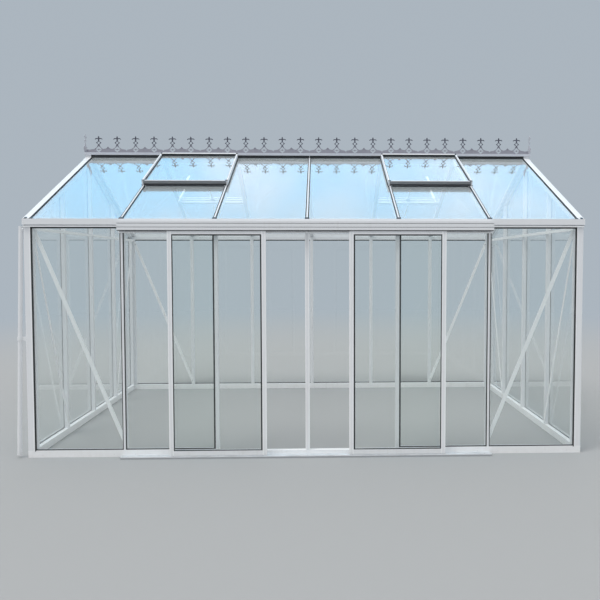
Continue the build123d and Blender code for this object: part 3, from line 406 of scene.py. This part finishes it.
def wall_rubbers(shape, corner, along, outward, length, bars, jambs=()):
    """Upright rubbers beside every bar of a wall, and level ones over and under its panes."""
    sides = [(0.0, along, corner_rubber)]
    sides += [(b, s * along, bar_rubber) for b in bars for s in (-1, 1)]
    sides += [(j, s * along, jamb_rubber) for j, s in jambs]
    sides.append((length, -along, corner_rubber))
    for place, across, section in sides:
        foot = corner + along * place
        start, end = foot + up * (sill_top - tuck), foot + up * (beam_foot + tuck)
        lay_strip(shape, start, end, across, outward, section)
        if section is corner_rubber:
            lay_strip(covers, start, end - up * cover_stop, across, outward, cover_strip)
    edges = sorted([corner_face, *bars, *(j for j, _ in jambs), length - corner_face])
    for left, right in zip(edges, edges[1:]):
        if jambs and left >= jambs[0][0] and right <= jambs[-1][0]:
            continue
        start, end = corner + along * (left + web), corner + along * (right - web)
        lay_strip(shape, start + up * sill_top, end + up * sill_top, up, outward, sill_rubber)
        lay_strip(shape, start + up * beam_foot, end + up * beam_foot, -up, outward, eave_rubber)


shape = bmesh.new()
wall_rubbers(
    shape, Vector((-half_length, -half_depth, 0)), ridgeways, Vector((0, -1, 0)),
    2 * half_length, [half_length - 2 * bay, half_length + 2 * bay],
    [(half_length - bay, -1), (half_length + bay, 1)],
)
wall_rubbers(
    shape, Vector((half_length, half_depth, 0)), -ridgeways, Vector((0, 1, 0)),
    2 * half_length, [half_length + n * bay for n in (-2, -1, 0, 1, 2)],
)
fit_piece(shape, "front_and_rear_wall_rubbers", black_rubber, "greenhouse")
shape = bmesh.new()
for half in (-1, 1):
    start = Vector((-half_length + drip_stop, half * half_depth, beam_foot))
    end = Vector((half_length - drip_stop, half * half_depth, beam_foot))
    lay_strip(shape, start, end, up, Vector((0, half, 0)), drip_strip)
# The drip strips take the lighter coat: painted light in the gutters' shade.
fit_piece(shape, "eave_drip_strips", painted_light_white_coat, "greenhouse")

# Glazing rubbers of the gables. The same strips, cut off under the end rafters, with a
# sloping strip below each end rafter that closes the head of every pane.
end_rafter_depth = 0.052
gable_strip_start = 0.062
gable_cover_start = 0.110
gable_cover_stop = 0.002


def slope_axes(half):
    """The directions up and out of a slope of the roof, and the middle of its eave line."""
    rise = Vector((0, -half * math.cos(pitch), math.sin(pitch)))
    outward = Vector((0, half * math.sin(pitch), math.cos(pitch)))
    return rise, outward, Vector((0, half * half_depth, eave))


shape = bmesh.new()
for side in (-1, 1):
    outward = Vector((side, 0, 0))
    face = Vector((side * half_length, 0, 0))
    uprights = [(-half_depth, 1, corner_rubber), (half_depth, -1, corner_rubber)]
    uprights += [(n * bay, s, bar_rubber) for n in (-1, 0, 1) for s in (-1, 1)]
    for place, way, section in uprights:
        # cut off where the middle of the strip meets the end rafter
        middle = place + way * 0.5 * (section[2][0] + section[6][0])
        head = eave + (half_depth - abs(middle)) * math.tan(pitch)
        head -= end_rafter_depth / math.cos(pitch)
        foot = face + Vector((0, place, 0))
        across = Vector((0, way, 0))
        start = foot + up * (sill_top - tuck)
        lay_strip(shape, start, foot + up * head, across, outward, section)
        if section is corner_rubber:
            end = foot + up * (beam_foot - gable_cover_stop)
            lay_strip(covers, start, end, across, outward, cover_strip)
    edges = [-half_depth + corner_face, -bay, 0, bay, half_depth - corner_face]
    for left, right in zip(edges, edges[1:]):
        start = face + Vector((0, left + web, sill_top))
        end = face + Vector((0, right - web, sill_top))
        lay_strip(shape, start, end, up, outward, sill_rubber)
    for half in (-1, 1):
        rise, slope_out, eave_line = slope_axes(half)
        corner = face + eave_line
        for left, right in (
            (gable_strip_start, half_depth - bay - web),
            (half_depth - bay + web, half_depth - web),
        ):
            start = corner + rise * (left / math.cos(pitch))
            end = corner + rise * (right / math.cos(pitch))
            lay_strip(shape, start, end, -slope_out, outward, corner_rubber)
        start = corner + rise * gable_cover_start
        cover_length = (half_depth - gable_cover_start) / math.cos(pitch) - gable_cover_start
        lay_strip(covers, start, start + rise * cover_length, -slope_out, outward, cover_strip)
fit_piece(shape, "gable_rubbers", black_rubber, "greenhouse")

# Glazing rubbers of the roof. Strips run up both sides of every rafter, and one along each
# side of the ridge beam closes the gap between the panes and the ridge cap. The last cover
# strips lie on the end rafters; all of them are painted a lighter white than the frame, a
# painted highlight along them.
ridge_side = 0.020
ridge_seat = 2.6295
ridge_gap = 0.0044
foot_reach = 0.004
beside_bar = 0.03
vent_foot = 0.7925
vent_middles = (-1.5 * bay, 1.5 * bay)
rafter_rubber = (
    (0.0088, -pane_depth), (0.0088, 0.0002), (0.0066, 0.0002), (0.0066, 0.0013),
    (0.0078, 0.0019), (0.0096, 0.0017), (0.0120, -0.0012), (0.0148, -0.0046),
    (0.0152, -pane_depth),
)
ridge_rubber = (
    (0, 0.0002), (0, 0.004), (0.004, 0.0062), (0.018, 0.0046), (0.0272, 0.0046),
    (0.0272, 0.0002),
)
shape = bmesh.new()
for half in (-1, 1):
    rise, outward, eave_line = slope_axes(half)
    foot = -foot_reach / math.cos(pitch)
    head = (half_depth - ridge_side - ridge_gap) / math.cos(pitch)
    for n in range(-3, 4):
        for s in (-1, 1):
            if abs(n) < 3:
                place, section = n * bay, rafter_rubber
            elif s * n < 0:
                place, section = math.copysign(half_length, n), corner_rubber
            else:
                continue
            beside = place + s * beside_bar
            under_vent = any(abs(beside - middle) < bay / 2 for middle in vent_middles)
            across = s * ridgeways
            line = eave_line + ridgeways * place
            start, end = line + rise * foot, line + rise * (vent_foot if under_vent else head)
            lay_strip(shape, start, end, across, outward, section)
            if section is corner_rubber:
                lay_strip(covers, start, end, across, outward, cover_strip)
    for left, right in ((-3, -2), (-1, 0), (0, 1), (2, 3)):
        start = max(left * bay + web, -half_length + corner_face)
        end = min(right * bay - web, half_length - corner_face)
        seat = Vector((0, half * ridge_side, ridge_seat))
        lay_strip(
            shape, seat + ridgeways * start, seat + ridgeways * end, up,
            Vector((0, half, 0)), ridge_rubber,
        )
fit_piece(shape, "roof_rubbers", black_rubber, "greenhouse")
# A still lighter copy of the white coat: a painted highlight on raised strips, ribs and lips.
painted_highlight_coat = powder_coat("white_coat_painted_highlight", (0.97, 0.975, 0.985), 0.02)
fit_piece(covers, "corner_cover_strips", painted_highlight_coat, "greenhouse")

# End plugs. Moulded black nylon plugs close the lower end of every rafter above the gutter:
# a shoe round each bar, and two small ones on the angle along each gable.
cap_overhang = 0.012
plug_back = 0.0018
plug_depth = 0.0034
shoe_width = 0.036
shoe_height = 0.0125
shoe_drop = 0.0105
shoe_reach = 0.0230
gable_plug_places = ((0.021, 0.022), (0.0615, 0.023))
gable_plug_height = 0.0105
gable_plug_drop = 0.0085
gable_lid_depth = 0.0222
gable_lid_height = 0.0018
gable_lid_middle = 0.0110

black_nylon, made, links = new_material("black_nylon")
skin = add_node(made, "BsdfPrincipled")
place = add_node(made, "TexCoord")
cloud = add_node(made, "TexNoise", Scale=40.0, Detail=3.0)
nylon_tone = colour_mix(made, (0.014, 0.014, 0.016), (0.028, 0.028, 0.031))
spark = add_node(made, "TexVoronoi", Scale=1400.0)
spark_bump = add_node(made, "Bump", Strength=0.25, Distance=0.0002)
nylon_rough = add_node(made, "MapRange", To_Min=0.32, To_Max=0.5)
out = add_node(made, "OutputMaterial")
links.new(place.outputs["Object"], cloud.inputs["Vector"])
links.new(cloud.outputs["Fac"], nylon_tone.inputs["Factor"])
links.new(nylon_tone.outputs["Result"], skin.inputs["Base Color"])
links.new(cloud.outputs["Fac"], nylon_rough.inputs["Value"])
links.new(nylon_rough.outputs["Result"], skin.inputs["Roughness"])
links.new(place.outputs["Object"], spark.inputs["Vector"])
links.new(spark.outputs["Distance"], spark_bump.inputs["Height"])
links.new(spark_bump.outputs["Normal"], skin.inputs["Normal"])
links.new(skin.outputs[0], out.inputs["Surface"])


def plug(shape, middle, along, outward, size, edge=0.0015):
    """A block of (width along the ridge, depth, thickness) with its outer long edges eased."""
    width, depth, thickness = size
    w, d = width / 2, depth / 2
    eased_block = (
        (-w, 0), (w, 0), (w, thickness - edge), (w - edge, thickness),
        (-w + edge, thickness), (-w, thickness - edge),
    )
    lay_strip(
        shape, middle - along * d, middle + along * d, ridgeways, outward, eased_block,
    )


shoe_lid = (
    (-0.0180, -0.0050), (-0.0088, -0.0050), (-0.0088, 0.0002), (0.0088, 0.0002),
    (0.0088, -0.0050), (0.0180, -0.0050), (0.0180, 0.0006), (0.0166, 0.0020),
    (-0.0166, 0.0020), (-0.0180, 0.0006),
)
shape = bmesh.new()
for half in (-1, 1):
    rise, outward, eave_line = slope_axes(half)
    cap_foot = -cap_overhang / math.cos(pitch)
    for n in range(-2, 3):
        foot = eave_line + ridgeways * (n * bay) + rise * cap_foot
        front = foot - rise * plug_back - outward * shoe_drop
        plug(shape, front, rise, outward, (shoe_width, plug_depth, shoe_height))
        start, end = foot - rise * 0.0001, foot + rise * shoe_reach
        lay_strip(shape, start, end, ridgeways, outward, shoe_lid)
    for s in (-1, 1):
        for inset, width in gable_plug_places:
            foot = eave_line + ridgeways * (s * (half_length - inset)) + rise * cap_foot
            front = foot - rise * plug_back - outward * gable_plug_drop
            plug(shape, front, rise, outward, (width, plug_depth, gable_plug_height))
            lid = foot + rise * gable_lid_middle + outward * 0.0002
            lid_size = (width, gable_lid_depth, gable_lid_height)
            plug(shape, lid, rise, outward, lid_size, 0.0010)
fit_piece(shape, "rafter_end_plugs", black_nylon, "greenhouse")

# Roof vents. A rebated white frame over the second and fifth bay of each slope, its pane
# held by a black rubber round the inside of the frame and sealed outside by a rubber skirt.
# A thin grey bar along the foot of each frame is painted shade, standing for the shaded
# front face of the foot rail.
finish_nodes(white_coat, "vent_stiles", "vent_rails", "vent_bars")
vent_length = 0.850
vent_width = 0.770
vent_rebate = 0.013
vent_top = 0.045
vent_pane_top = 0.025
bead_gap = 0.0003
on_frame = vent_top + 0.0002
foot_skirt_stop = 0.016
under_seal_stop = 0.020
foot_shade_bar_stop = 0.014
knob_inset = 0.0125
knob_size = (0.024, 0.012, 0.004)
hinge_plug_inset = 0.0085
hinge_plug_size = (0.015, 0.012, 0.0065)
vent_start = (half_depth - ridge_side - 0.006) / math.cos(pitch) - vent_length
low_bead, high_bead = (
    (
        (0, vent_pane_top + 0.0002), (0, top), (0.0022, top), (0.0034, vent_pane_top + 0.004),
        (0.0085, vent_pane_top + 0.0012), (0.0085, vent_pane_top + 0.0002),
    )
    for top in (vent_pane_top + 0.0065, vent_top - 0.0015)
)
skirt = ((0, -0.0002), (0, 0.009), (0.0018, 0.0088), (0.0062, 0.0010), (0.0062, -0.0002))
foot_skirt = (
    (0.0002, 0.0030), (0.0002, 0.0160), (0.0052, 0.0160), (0.0062, 0.0110), (0.0040, 0.0030),
)
under_seal = (
    (-0.010, -0.0054), (-0.010, -0.0002), (0.0002, -0.0002), (0.0075, -0.0030),
    (0.0100, -0.0054),
)
foot_shade_bar = (
    (0.0002, 0.0162), (0.0002, 0.0420), (0.0014, 0.0424), (0.0022, 0.0414), (0.0026, 0.0162),
)


def vent_feet():
    """The middle of every vent's lower edge, with the directions up and out of its slope."""
    for half in (-1, 1):
        rise, outward, eave_line = slope_axes(half)
        for middle in vent_middles:
            yield eave_line + ridgeways * middle + rise * vent_start, rise, outward


shape = bmesh.new()
for corner, rise, outward in vent_feet():
    foot_in, head_in = vent_rebate + bead_gap, vent_length - vent_rebate - bead_gap
    side_in = vent_width / 2 - vent_rebate - bead_gap
    for s in (-1, 1):
        across = s * ridgeways
        inner = corner + across * side_in
        lay_strip(
            shape, inner + rise * foot_in, inner + rise * head_in, -across, outward, low_bead,
        )
        outer = corner + across * (vent_width / 2 + 0.0002)
        lay_strip(shape, outer, outer + rise * vent_length, across, outward, skirt)
    half_bead = ridgeways * (side_in - 0.0002)
    for edge, way, bead in ((foot_in, rise, low_bead), (head_in, -rise, high_bead)):
        line = corner + rise * edge
        lay_strip(shape, line - half_bead, line + half_bead, way, outward, bead)
    half_skirt = ridgeways * (vent_width / 2 - foot_skirt_stop)
    lay_strip(shape, corner - half_skirt, corner + half_skirt, -rise, outward, foot_skirt)
    for s in (-1, 1):
        knob = corner + ridgeways * (s * (vent_width / 2 - knob_inset))
        knob = knob + outward * on_frame + rise * 0.004
        plug(shape, knob, rise, outward, knob_size, 0.0010)
        hinge_end = corner + ridgeways * (s * (vent_width / 2 - hinge_plug_inset))
        hinge_end = hinge_end + rise * (vent_length - 0.0065) + outward * on_frame
        plug(shape, hinge_end, rise, outward, hinge_plug_size, 0.0010)
    half_seal = ridgeways * (bay / 2 - under_seal_stop)
    lay_strip(shape, corner - half_seal, corner + half_seal, -rise, outward, under_seal)
fit_piece(shape, "vent_rubbers", black_rubber, "greenhouse")

# Painted shade: grey bars over the front faces of the vents' foot rails.
foot_shade_grey = powder_coat("vent_foot_painted_shade", (0.26, 0.265, 0.275), 0.10)
shape = bmesh.new()
for corner, rise, outward in vent_feet():
    half_bar = ridgeways * (vent_width / 2 - foot_shade_bar_stop)
    lay_strip(shape, corner - half_bar, corner + half_bar, -rise, outward, foot_shade_bar)
fit_piece(shape, "vent_drip_bars", foot_shade_grey, "greenhouse")

# Vent hinges and stays. A white bead hinge lies along the head of each vent; below the pane a
# flat arm runs up from the foot rail and a slim white tube hangs under the bar below it.
hinge_stop = 0.0165
arm_size = (0.020, 0.210, 0.0035)
bracket_size = (0.046, 0.024, 0.0035)
tube_radius = 0.011
tube_sides = 14
tube_length = 0.215
rod_share = 0.36
rod_end_length = 0.300
hinge_bead = (
    (0.0002, 0.0002), (0.0002, 0.0045), (0.0020, 0.0066), (0.0060, 0.0072), (0.0100, 0.0062),
    (0.0118, 0.0040), (0.0140, 0.0002),
)
tube_turns = [math.tau * i / tube_sides for i in range(tube_sides)]
tube_section = [(tube_radius * math.cos(t), tube_radius * math.sin(t)) for t in tube_turns]
rod_section = [(a * rod_share, o * rod_share) for a, o in tube_section]
shape = bmesh.new()
for corner, rise, outward in vent_feet():
    head = corner + rise * (vent_length - 0.0005) + outward * vent_top
    half_hinge = ridgeways * (vent_width / 2 - hinge_stop)
    lay_strip(shape, head - half_hinge, head + half_hinge, -rise, outward, hinge_bead)
    arm_foot = corner + rise * 0.0255 + outward * 0.010
    plug(shape, arm_foot + rise * (arm_size[1] / 2), rise, outward, arm_size, 0.0008)
    bracket = arm_foot + rise * (bracket_size[1] / 2) - outward * 0.004
    plug(shape, bracket, rise, outward, bracket_size, 0.0008)
    tube = corner - rise * 0.052 - outward * 0.030
    tube_end, rod_end = tube - rise * tube_length, tube - rise * rod_end_length
    lay_strip(shape, tube, tube_end, ridgeways, outward, tube_section)
    lay_strip(shape, tube_end, rod_end, ridgeways, outward, rod_section)
# The hinges and stays take the lighter coat: painted light.
fit_piece(shape, "vent_hinges_and_stays", painted_light_white_coat, "greenhouse")

# Door header and threshold. The header is a ribbed white extrusion that hides the track; the
# threshold is left in bare aluminium, brushed by the extrusion die, darker grey on its front.
# Plates close the header's ends; thin black strips in its grooves are painted shade. A black
# seal under its front edge also stands for the shade line there, and a lip along its back is
# painted a lighter white, a painted highlight.
finish_nodes(white_coat, "door_header_track")


def bare_metal(name, colour, rough, lines_scale=(6, 300, 300), clean=0.9):
    """Bare metal with lines of the die or brush and cloudy stains; clean is its metal share."""
    metal, made, links = new_material(name)
    skin = add_node(made, "BsdfPrincipled", Metallic=clean)
    place = add_node(made, "TexCoord")
    stretch = add_node(made, "Mapping", Scale=lines_scale)
    lines = add_node(made, "TexNoise", Scale=1.0, Detail=4.0)
    stains = add_node(made, "TexNoise", Scale=9.0, Detail=6.0)
    brushed = colour_mix(made, [c * 0.78 for c in colour], colour)
    stain_edge = add_node(made, "MapRange", From_Min=0.45, From_Max=0.75, To_Max=0.5)
    weathered = colour_mix(made, None, [c * 0.62 for c in colour])
    rub = add_node(made, "MapRange", To_Min=rough - 0.08, To_Max=rough + 0.14)
    groove = add_node(made, "Bump", Strength=0.25, Distance=0.0002)
    out = add_node(made, "OutputMaterial")
    links.new(place.outputs["Object"], stretch.inputs["Vector"])
    links.new(place.outputs["Object"], stains.inputs["Vector"])
    links.new(stretch.outputs["Vector"], lines.inputs["Vector"])
    links.new(lines.outputs["Fac"], brushed.inputs["Factor"])
    links.new(stains.outputs["Fac"], stain_edge.inputs["Value"])
    links.new(stain_edge.outputs["Result"], weathered.inputs["Factor"])
    links.new(brushed.outputs["Result"], weathered.inputs["A"])
    links.new(weathered.outputs["Result"], skin.inputs["Base Color"])
    links.new(stains.outputs["Fac"], rub.inputs["Value"])
    links.new(rub.outputs["Result"], skin.inputs["Roughness"])
    links.new(lines.outputs["Fac"], groove.inputs["Height"])
    links.new(groove.outputs["Normal"], skin.inputs["Normal"])
    links.new(skin.outputs[0], out.inputs["Surface"])
    return metal


mill_finish = bare_metal("mill_finish_aluminium", (0.96, 0.95, 0.94), 0.55, clean=0.5)
# Darker grey below the top of the threshold's front face.
scuffed_threshold = second_tone(
    mill_finish, "scuffed_threshold", 0.0145, 0.0120, (0.46, 0.46, 0.47),
)
finish_nodes(scuffed_threshold, "door_threshold")
track_end = 1.495
end_plate_thick = 0.0018
groove_levels = (1.852, 1.882)
foot_seal_level = 1.829
back_lip_level = 1.812
end_plate = (
    (0.0202, 1.8100), (0.0202, 1.9000), (0.0212, 1.9010), (0.0740, 1.9010), (0.0750, 1.9000),
    (0.0750, 1.8300), (0.0740, 1.8290), (0.0232, 1.8290), (0.0232, 1.8100),
)
groove_shade_strip = (
    (-0.0012, 0.0734), (-0.0012, 0.0744), (-0.0006, 0.0748), (0.0006, 0.0748),
    (0.0012, 0.0744), (0.0012, 0.0734),
)
foot_seal = (
    (-0.0060, 0.0726), (-0.0060, 0.0736), (-0.0030, 0.0744), (-0.0002, 0.0746),
    (-0.0002, 0.0722), (-0.0030, 0.0724),
)
back_lip = (
    (-0.0018, 0.0232), (0.0070, 0.0232), (0.0066, 0.0360), (0.0058, 0.0368),
    (-0.0052, 0.0368), (-0.0060, 0.0360), (-0.0060, 0.0345), (-0.0018, 0.0340),
)
outward = Vector((0, -1, 0))
shape = bmesh.new()
for s in (-1, 1):
    end = Vector((s * track_end, -half_depth, 0))
    lay_strip(shape, end, end + ridgeways * (s * end_plate_thick), outward, up, end_plate)
fit_piece(shape, "header_end_caps", white_coat, "greenhouse")
start, end = Vector((-track_end, -half_depth, 0)), Vector((track_end, -half_depth, 0))
shape = bmesh.new()
# The groove strips are painted shade; the seal under the front edge is partly painted shade.
for level in (*groove_levels, foot_seal_level):
    seal = groove_shade_strip if level in groove_levels else foot_seal
    lay_strip(shape, start + up * level, end + up * level, up, outward, seal)
fit_piece(shape, "header_seals", black_rubber, "greenhouse")
# The back lip takes the lighter coat: a painted highlight.
shape = bmesh.new()
start, end = start + up * back_lip_level, end + up * back_lip_level
lay_strip(shape, start, end, up, outward, back_lip)
fit_piece(shape, "header_drip_lip", painted_highlight_coat, "greenhouse")

# Door leaves. White stiles and rails round one tall pane, which sits in black rubber in the
# groove of the frame; the meeting stiles carry a thicker buffer where the leaves close. Thin
# ribs edge the stiles and the post between the leaves; they are painted a lighter white than
# the stiles, a painted highlight along their edges.
zinc_plate = bare_metal("zinc_plated_steel", (0.62, 0.63, 0.65), 0.34, (60, 60, 60))
leaf_coat = powder_coat("door_leaf_coat", (0.84, 0.85, 0.87), 0.02)
finish_nodes(
    leaf_coat, "left_door_stiles", "left_door_rails", "right_door_stiles", "right_door_rails",
)
finish_nodes(zinc_plate, "left_door_hangers", "right_door_hangers")
leaf_face = 0.0120
leaf_middle_depth = 0.054
leaf_stile = 0.035
leaf_width = 0.780
leaf_foot = 0.061
leaf_head = 1.796
leaf_pane_side = 0.0023
buffer_lip = 0.0120
plain_lip = 0.0055
stile_rib_foot = 0.0225
stile_rib_head = 1.8345
post_rib_foot = 0.0435
post_rib_length = 1.8115
leaf_places = (("left_door", -0.717, 1), ("right_door", 0.727, -1))
rubber_crown = ((0, leaf_pane_side), (0, 0.0110), (0.0018, 0.0112))
foot_lip = (*rubber_crown, (0.0045, 0.0060), (0.0055, leaf_pane_side))
head_lip = (*rubber_crown, (0.0085, 0.0070), (0.0100, leaf_pane_side))
stile_rib = (
    (0.0088, leaf_face + 0.0001), (0.0094, leaf_face + 0.0009), (0.0160, leaf_face + 0.0009),
    (0.0168, leaf_face + 0.0001),
)
post_rib = ((0.0088, 0.0001), (0.0094, 0.0009), (0.0158, 0.0009), (0.0166, 0.0001))
for body, place, meeting in leaf_places:
    middle = Vector((place, -half_depth - leaf_middle_depth, 0))
    half_pane = leaf_width / 2 - leaf_stile
    shape = bmesh.new()
    for face in (-1, 1):
        outward = Vector((0, face, 0))
        for s in (-1, 1):
            edge = middle + ridgeways * (s * half_pane)
            lip = buffer_lip if s == meeting else plain_lip
            side_lip = (*rubber_crown, (0.6 * lip, 0.0085), (lip, 0.0040), (lip, leaf_pane_side))
            start, end = edge + up * leaf_foot, edge + up * leaf_head
            lay_strip(shape, start, end, -s * ridgeways, outward, side_lip)
        left = middle - ridgeways * (half_pane - 0.0002)
        right = middle + ridgeways * (half_pane - 0.0002)
        for level, way, lip in ((leaf_foot, up, foot_lip), (leaf_head, -up, head_lip)):
            lay_strip(shape, left + up * level, right + up * level, way, outward, lip)
    fit_piece(shape, body + "_rubbers", black_rubber, body)
    shape = bmesh.new()
    for face in (-1, 1):
        for s in (-1, 1):
            stile = middle + ridgeways * (s * (leaf_width - leaf_stile) / 2)
            start, end = stile + up * stile_rib_foot, stile + up * stile_rib_head
            for edge in (-1, 1):
                lay_strip(
                    shape, start, end, edge * ridgeways, Vector((0, face, 0)), stile_rib,
                )
    # The stile ribs are painted lighter: a painted highlight.
    fit_piece(shape, body + "_stile_ribs", painted_highlight_coat, body)
shape = bmesh.new()
front = Vector((0, -1, 0))
foot = Vector((0, -half_depth, post_rib_foot))
for edge in (-1, 1):
    lay_strip(shape, foot, foot + up * post_rib_length, edge * ridgeways, front, post_rib)
# The post ribs are painted lighter: a painted highlight.
fit_piece(shape, "middle_post_ribs", painted_highlight_coat, "greenhouse")

# Braces and rainwater pipes. Flat white strips across the end bays inside, and a white pipe
# down the front left and the rear right corner.
# The braces take the lighter coat: painted light.
finish_nodes(painted_light_white_coat, "wall_braces", "gable_braces")
finish_nodes(white_coat, "downpipes")

# Fasteners. Pan-head screws and hexagon bolts hold the pieces together: each head is built once,
# a Geometry Nodes tree sets it on every spot and turns it about its axis, no two quite alike.
pan_rings = (
    (0.0045, 0), (0.0045, 0.0008), (0.0038, 0.0017), (0.0026, 0.0021), (0.0018, 0.0021),
    (0.0016, 0.0011),
)
hex_rings = (
    (0.0075, 0), (0.0075, 0.0010), (0.0062, 0.0011), (0.0062, 0.0042), (0.0052, 0.0050),
)


def turned_head(name, rings, sides, slots):
    """A head from (radius, height) rings; inside the radius slots, every second corner is
    drawn in, which gives the cross of a driver."""
    head = bmesh.new()
    loops = []
    for radius, height in rings:
        loop = []
        for i in range(sides):
            turn = math.tau * i / sides
            out = radius * 0.45 if i % 2 and radius < slots else radius
            loop.append(head.verts.new((out * math.cos(turn), out * math.sin(turn), height)))
        loops.append(loop)
    for low, high in zip(loops, loops[1:]):
        for i in range(sides):
            j = (i + 1) % sides
            head.faces.new((low[i], low[j], high[j], high[i]))
    head.faces.new(loops[0][::-1])
    head.faces.new(loops[-1])
    bmesh.ops.recalc_face_normals(head, faces=head.faces)
    mesh = bpy.data.meshes.new(name)
    head.to_mesh(mesh)
    head.free()
    head_object = bpy.data.objects.new(name, mesh)
    bpy.context.scene.collection.objects.link(head_object)
    return head_object


pan_head = turned_head("pan_head", pan_rings, 8, 0.0025)
hex_head = turned_head("hex_head", hex_rings, 6, 0)

setter = bpy.data.node_groups.new("set_fasteners", "GeometryNodeTree")
sockets = {}
for name, kind in (
    ("Spots", "NodeSocketGeometry"), ("Head", "NodeSocketObject"),
    ("Finish", "NodeSocketMaterial"), ("Turn", "NodeSocketFloat"), ("Seed", "NodeSocketInt"),
):
    sockets[name] = setter.interface.new_socket(name, in_out="INPUT", socket_type=kind)
setter.interface.new_socket("Fasteners", in_out="OUTPUT", socket_type="NodeSocketGeometry")
made, links = setter.nodes, setter.links
given = made.new("NodeGroupInput")
result = made.new("NodeGroupOutput")
facing = made.new("GeometryNodeInputNamedAttribute")
facing.data_type = "FLOAT_VECTOR"
facing.inputs["Name"].default_value = "facing"
aim = made.new("FunctionNodeAlignRotationToVector")
aim.axis = "Z"
spin = made.new("FunctionNodeRandomValue")
spin_in = {socket.name: socket for socket in spin.inputs if socket.enabled}
spin_out = next(socket for socket in spin.outputs if socket.enabled)
spin_angle = made.new("FunctionNodeAxisAngleToRotation")
spin_angle.inputs["Axis"].default_value = (0, 0, 1)
turned = made.new("FunctionNodeRotateRotation")
turned.rotation_space = "LOCAL"
head_shape = made.new("GeometryNodeObjectInfo")
heads = made.new("GeometryNodeInstanceOnPoints")
solid_heads = made.new("GeometryNodeRealizeInstances")
finished = made.new("GeometryNodeSetMaterial")
links.new(given.outputs["Spots"], heads.inputs["Points"])
links.new(given.outputs["Head"], head_shape.inputs["Object"])
links.new(head_shape.outputs["Geometry"], heads.inputs["Instance"])
links.new(facing.outputs["Attribute"], aim.inputs["Vector"])
links.new(given.outputs["Turn"], spin_in["Max"])
links.new(given.outputs["Seed"], spin_in["Seed"])
links.new(spin_out, spin_angle.inputs["Angle"])
links.new(aim.outputs["Rotation"], turned.inputs["Rotation"])
links.new(spin_angle.outputs["Rotation"], turned.inputs["Rotate By"])
links.new(turned.outputs["Rotation"], heads.inputs["Rotation"])
links.new(heads.outputs["Instances"], solid_heads.inputs["Geometry"])
links.new(solid_heads.outputs["Geometry"], finished.inputs["Geometry"])
links.new(given.outputs["Finish"], finished.inputs["Material"])
links.new(finished.outputs["Geometry"], result.inputs["Fasteners"])


def set_fasteners(name, head, material, body, spots, seed):
    """Set a head on every (place, direction) pair and keep the outcome as a plain mesh."""
    points = bpy.data.meshes.new(name + "_spots")
    points.from_pydata([place for place, _ in spots], [], [])
    directions = points.attributes.new("facing", "FLOAT_VECTOR", "POINT")
    for value, (_, direction) in zip(directions.data, spots):
        value.vector = direction
    holder = bpy.data.objects.new(name, points)
    bpy.context.scene.collection.objects.link(holder)
    setting = holder.modifiers.new("set_fasteners", "NODES")
    setting.node_group = setter
    setting[sockets["Head"].identifier] = head
    setting[sockets["Finish"].identifier] = material
    setting[sockets["Turn"].identifier] = math.tau
    setting[sockets["Seed"].identifier] = seed
    view = bpy.context.evaluated_depsgraph_get()
    mesh = bpy.data.meshes.new_from_object(holder.evaluated_get(view), depsgraph=view)
    mesh.name = name
    holder.modifiers.clear()
    holder.data = mesh
    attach(holder, body)


stainless = bare_metal("stainless_fasteners", (0.60, 0.60, 0.61), 0.34, (90, 90, 90))
sill_screw_level = 0.022
sill_screw_step = 0.085
plate_face = half_length + 0.0031
beam_plate_reaches = (0.012, -0.058)
beam_plate_levels = (1.868, 1.904)
apex_plate_spots = ((0.060, 2.557), (0.020, 2.570))
threshold_step = 0.36
threshold_middle = half_depth + 0.055
threshold_top = 0.0151
header_screw_places = (-1.46, -0.98, -0.49, 0, 0.49, 0.98, 1.46)
header_screw_level = 1.867
header_face = half_depth + 0.0751
brace_face = half_depth - 0.0471
brace_bolt_places = ((2.171, 1.794), (1.488, 0.106))
leaf_screw_levels = (0.041, 1.806)
leaf_outside = half_depth + 0.0661
coated_spots, bare_spots, bolt_spots = [], [], []
for half in (-1, 1):
    for n in range(-3, 4):
        for s in (-1, 1):
            past_corner = abs(n) == 3 and s * n > 0
            in_doorway = half < 0 and abs(n) <= 1
            if not past_corner and not in_doorway:
                x, y = n * bay + s * sill_screw_step, half * (half_depth + 0.0001)
                coated_spots.append((Vector((x, y, sill_screw_level)), Vector((0, half, 0))))
for side in (-1, 1):
    outward = Vector((side, 0, 0))
    for n in range(-2, 3):
        for s in (-1, 1):
            if abs(n) < 2 or s * n < 0:
                x, y = side * (half_length + 0.0001), n * bay + s * sill_screw_step
                coated_spots.append((Vector((x, y, sill_screw_level)), outward))
    for half in (-1, 1):
        for reach in beam_plate_reaches:
            for level in beam_plate_levels:
                spot = Vector((side * plate_face, half * (half_depth + reach), level))
                bare_spots.append((spot, outward))
        for reach, level in apex_plate_spots:
            bare_spots.append((Vector((side * plate_face, half * reach, level)), outward))
for n in range(-4, 5):
    bare_spots.append((Vector((n * threshold_step, -threshold_middle, threshold_top)), up))
for x in header_screw_places:
    coated_spots.append((Vector((x, -header_face, header_screw_level)), front))
set_fasteners("coated_screws", pan_head, white_coat, "greenhouse", coated_spots, 3)
set_fasteners("bare_screws", pan_head, stainless, "greenhouse", bare_spots, 5)
for half in (-1, 1):
    for s in (-1, 1):
        for x, z in brace_bolt_places:
            bolt_spots.append((Vector((s * x, half * brace_face, z)), Vector((0, -half, 0))))
set_fasteners("brace_bolts", hex_head, stainless, "greenhouse", bolt_spots, 7)
for body, place, _ in leaf_places:
    leaf_spots = []
    for s in (-1, 1):
        for level in leaf_screw_levels:
            x = place + s * (leaf_width - leaf_stile) / 2
            leaf_spots.append((Vector((x, -leaf_outside, level)), front))
    set_fasteners(body + "_screws", pan_head, leaf_coat, body, leaf_spots, 9)
for head in (pan_head, hex_head):
    bpy.data.objects.remove(head)
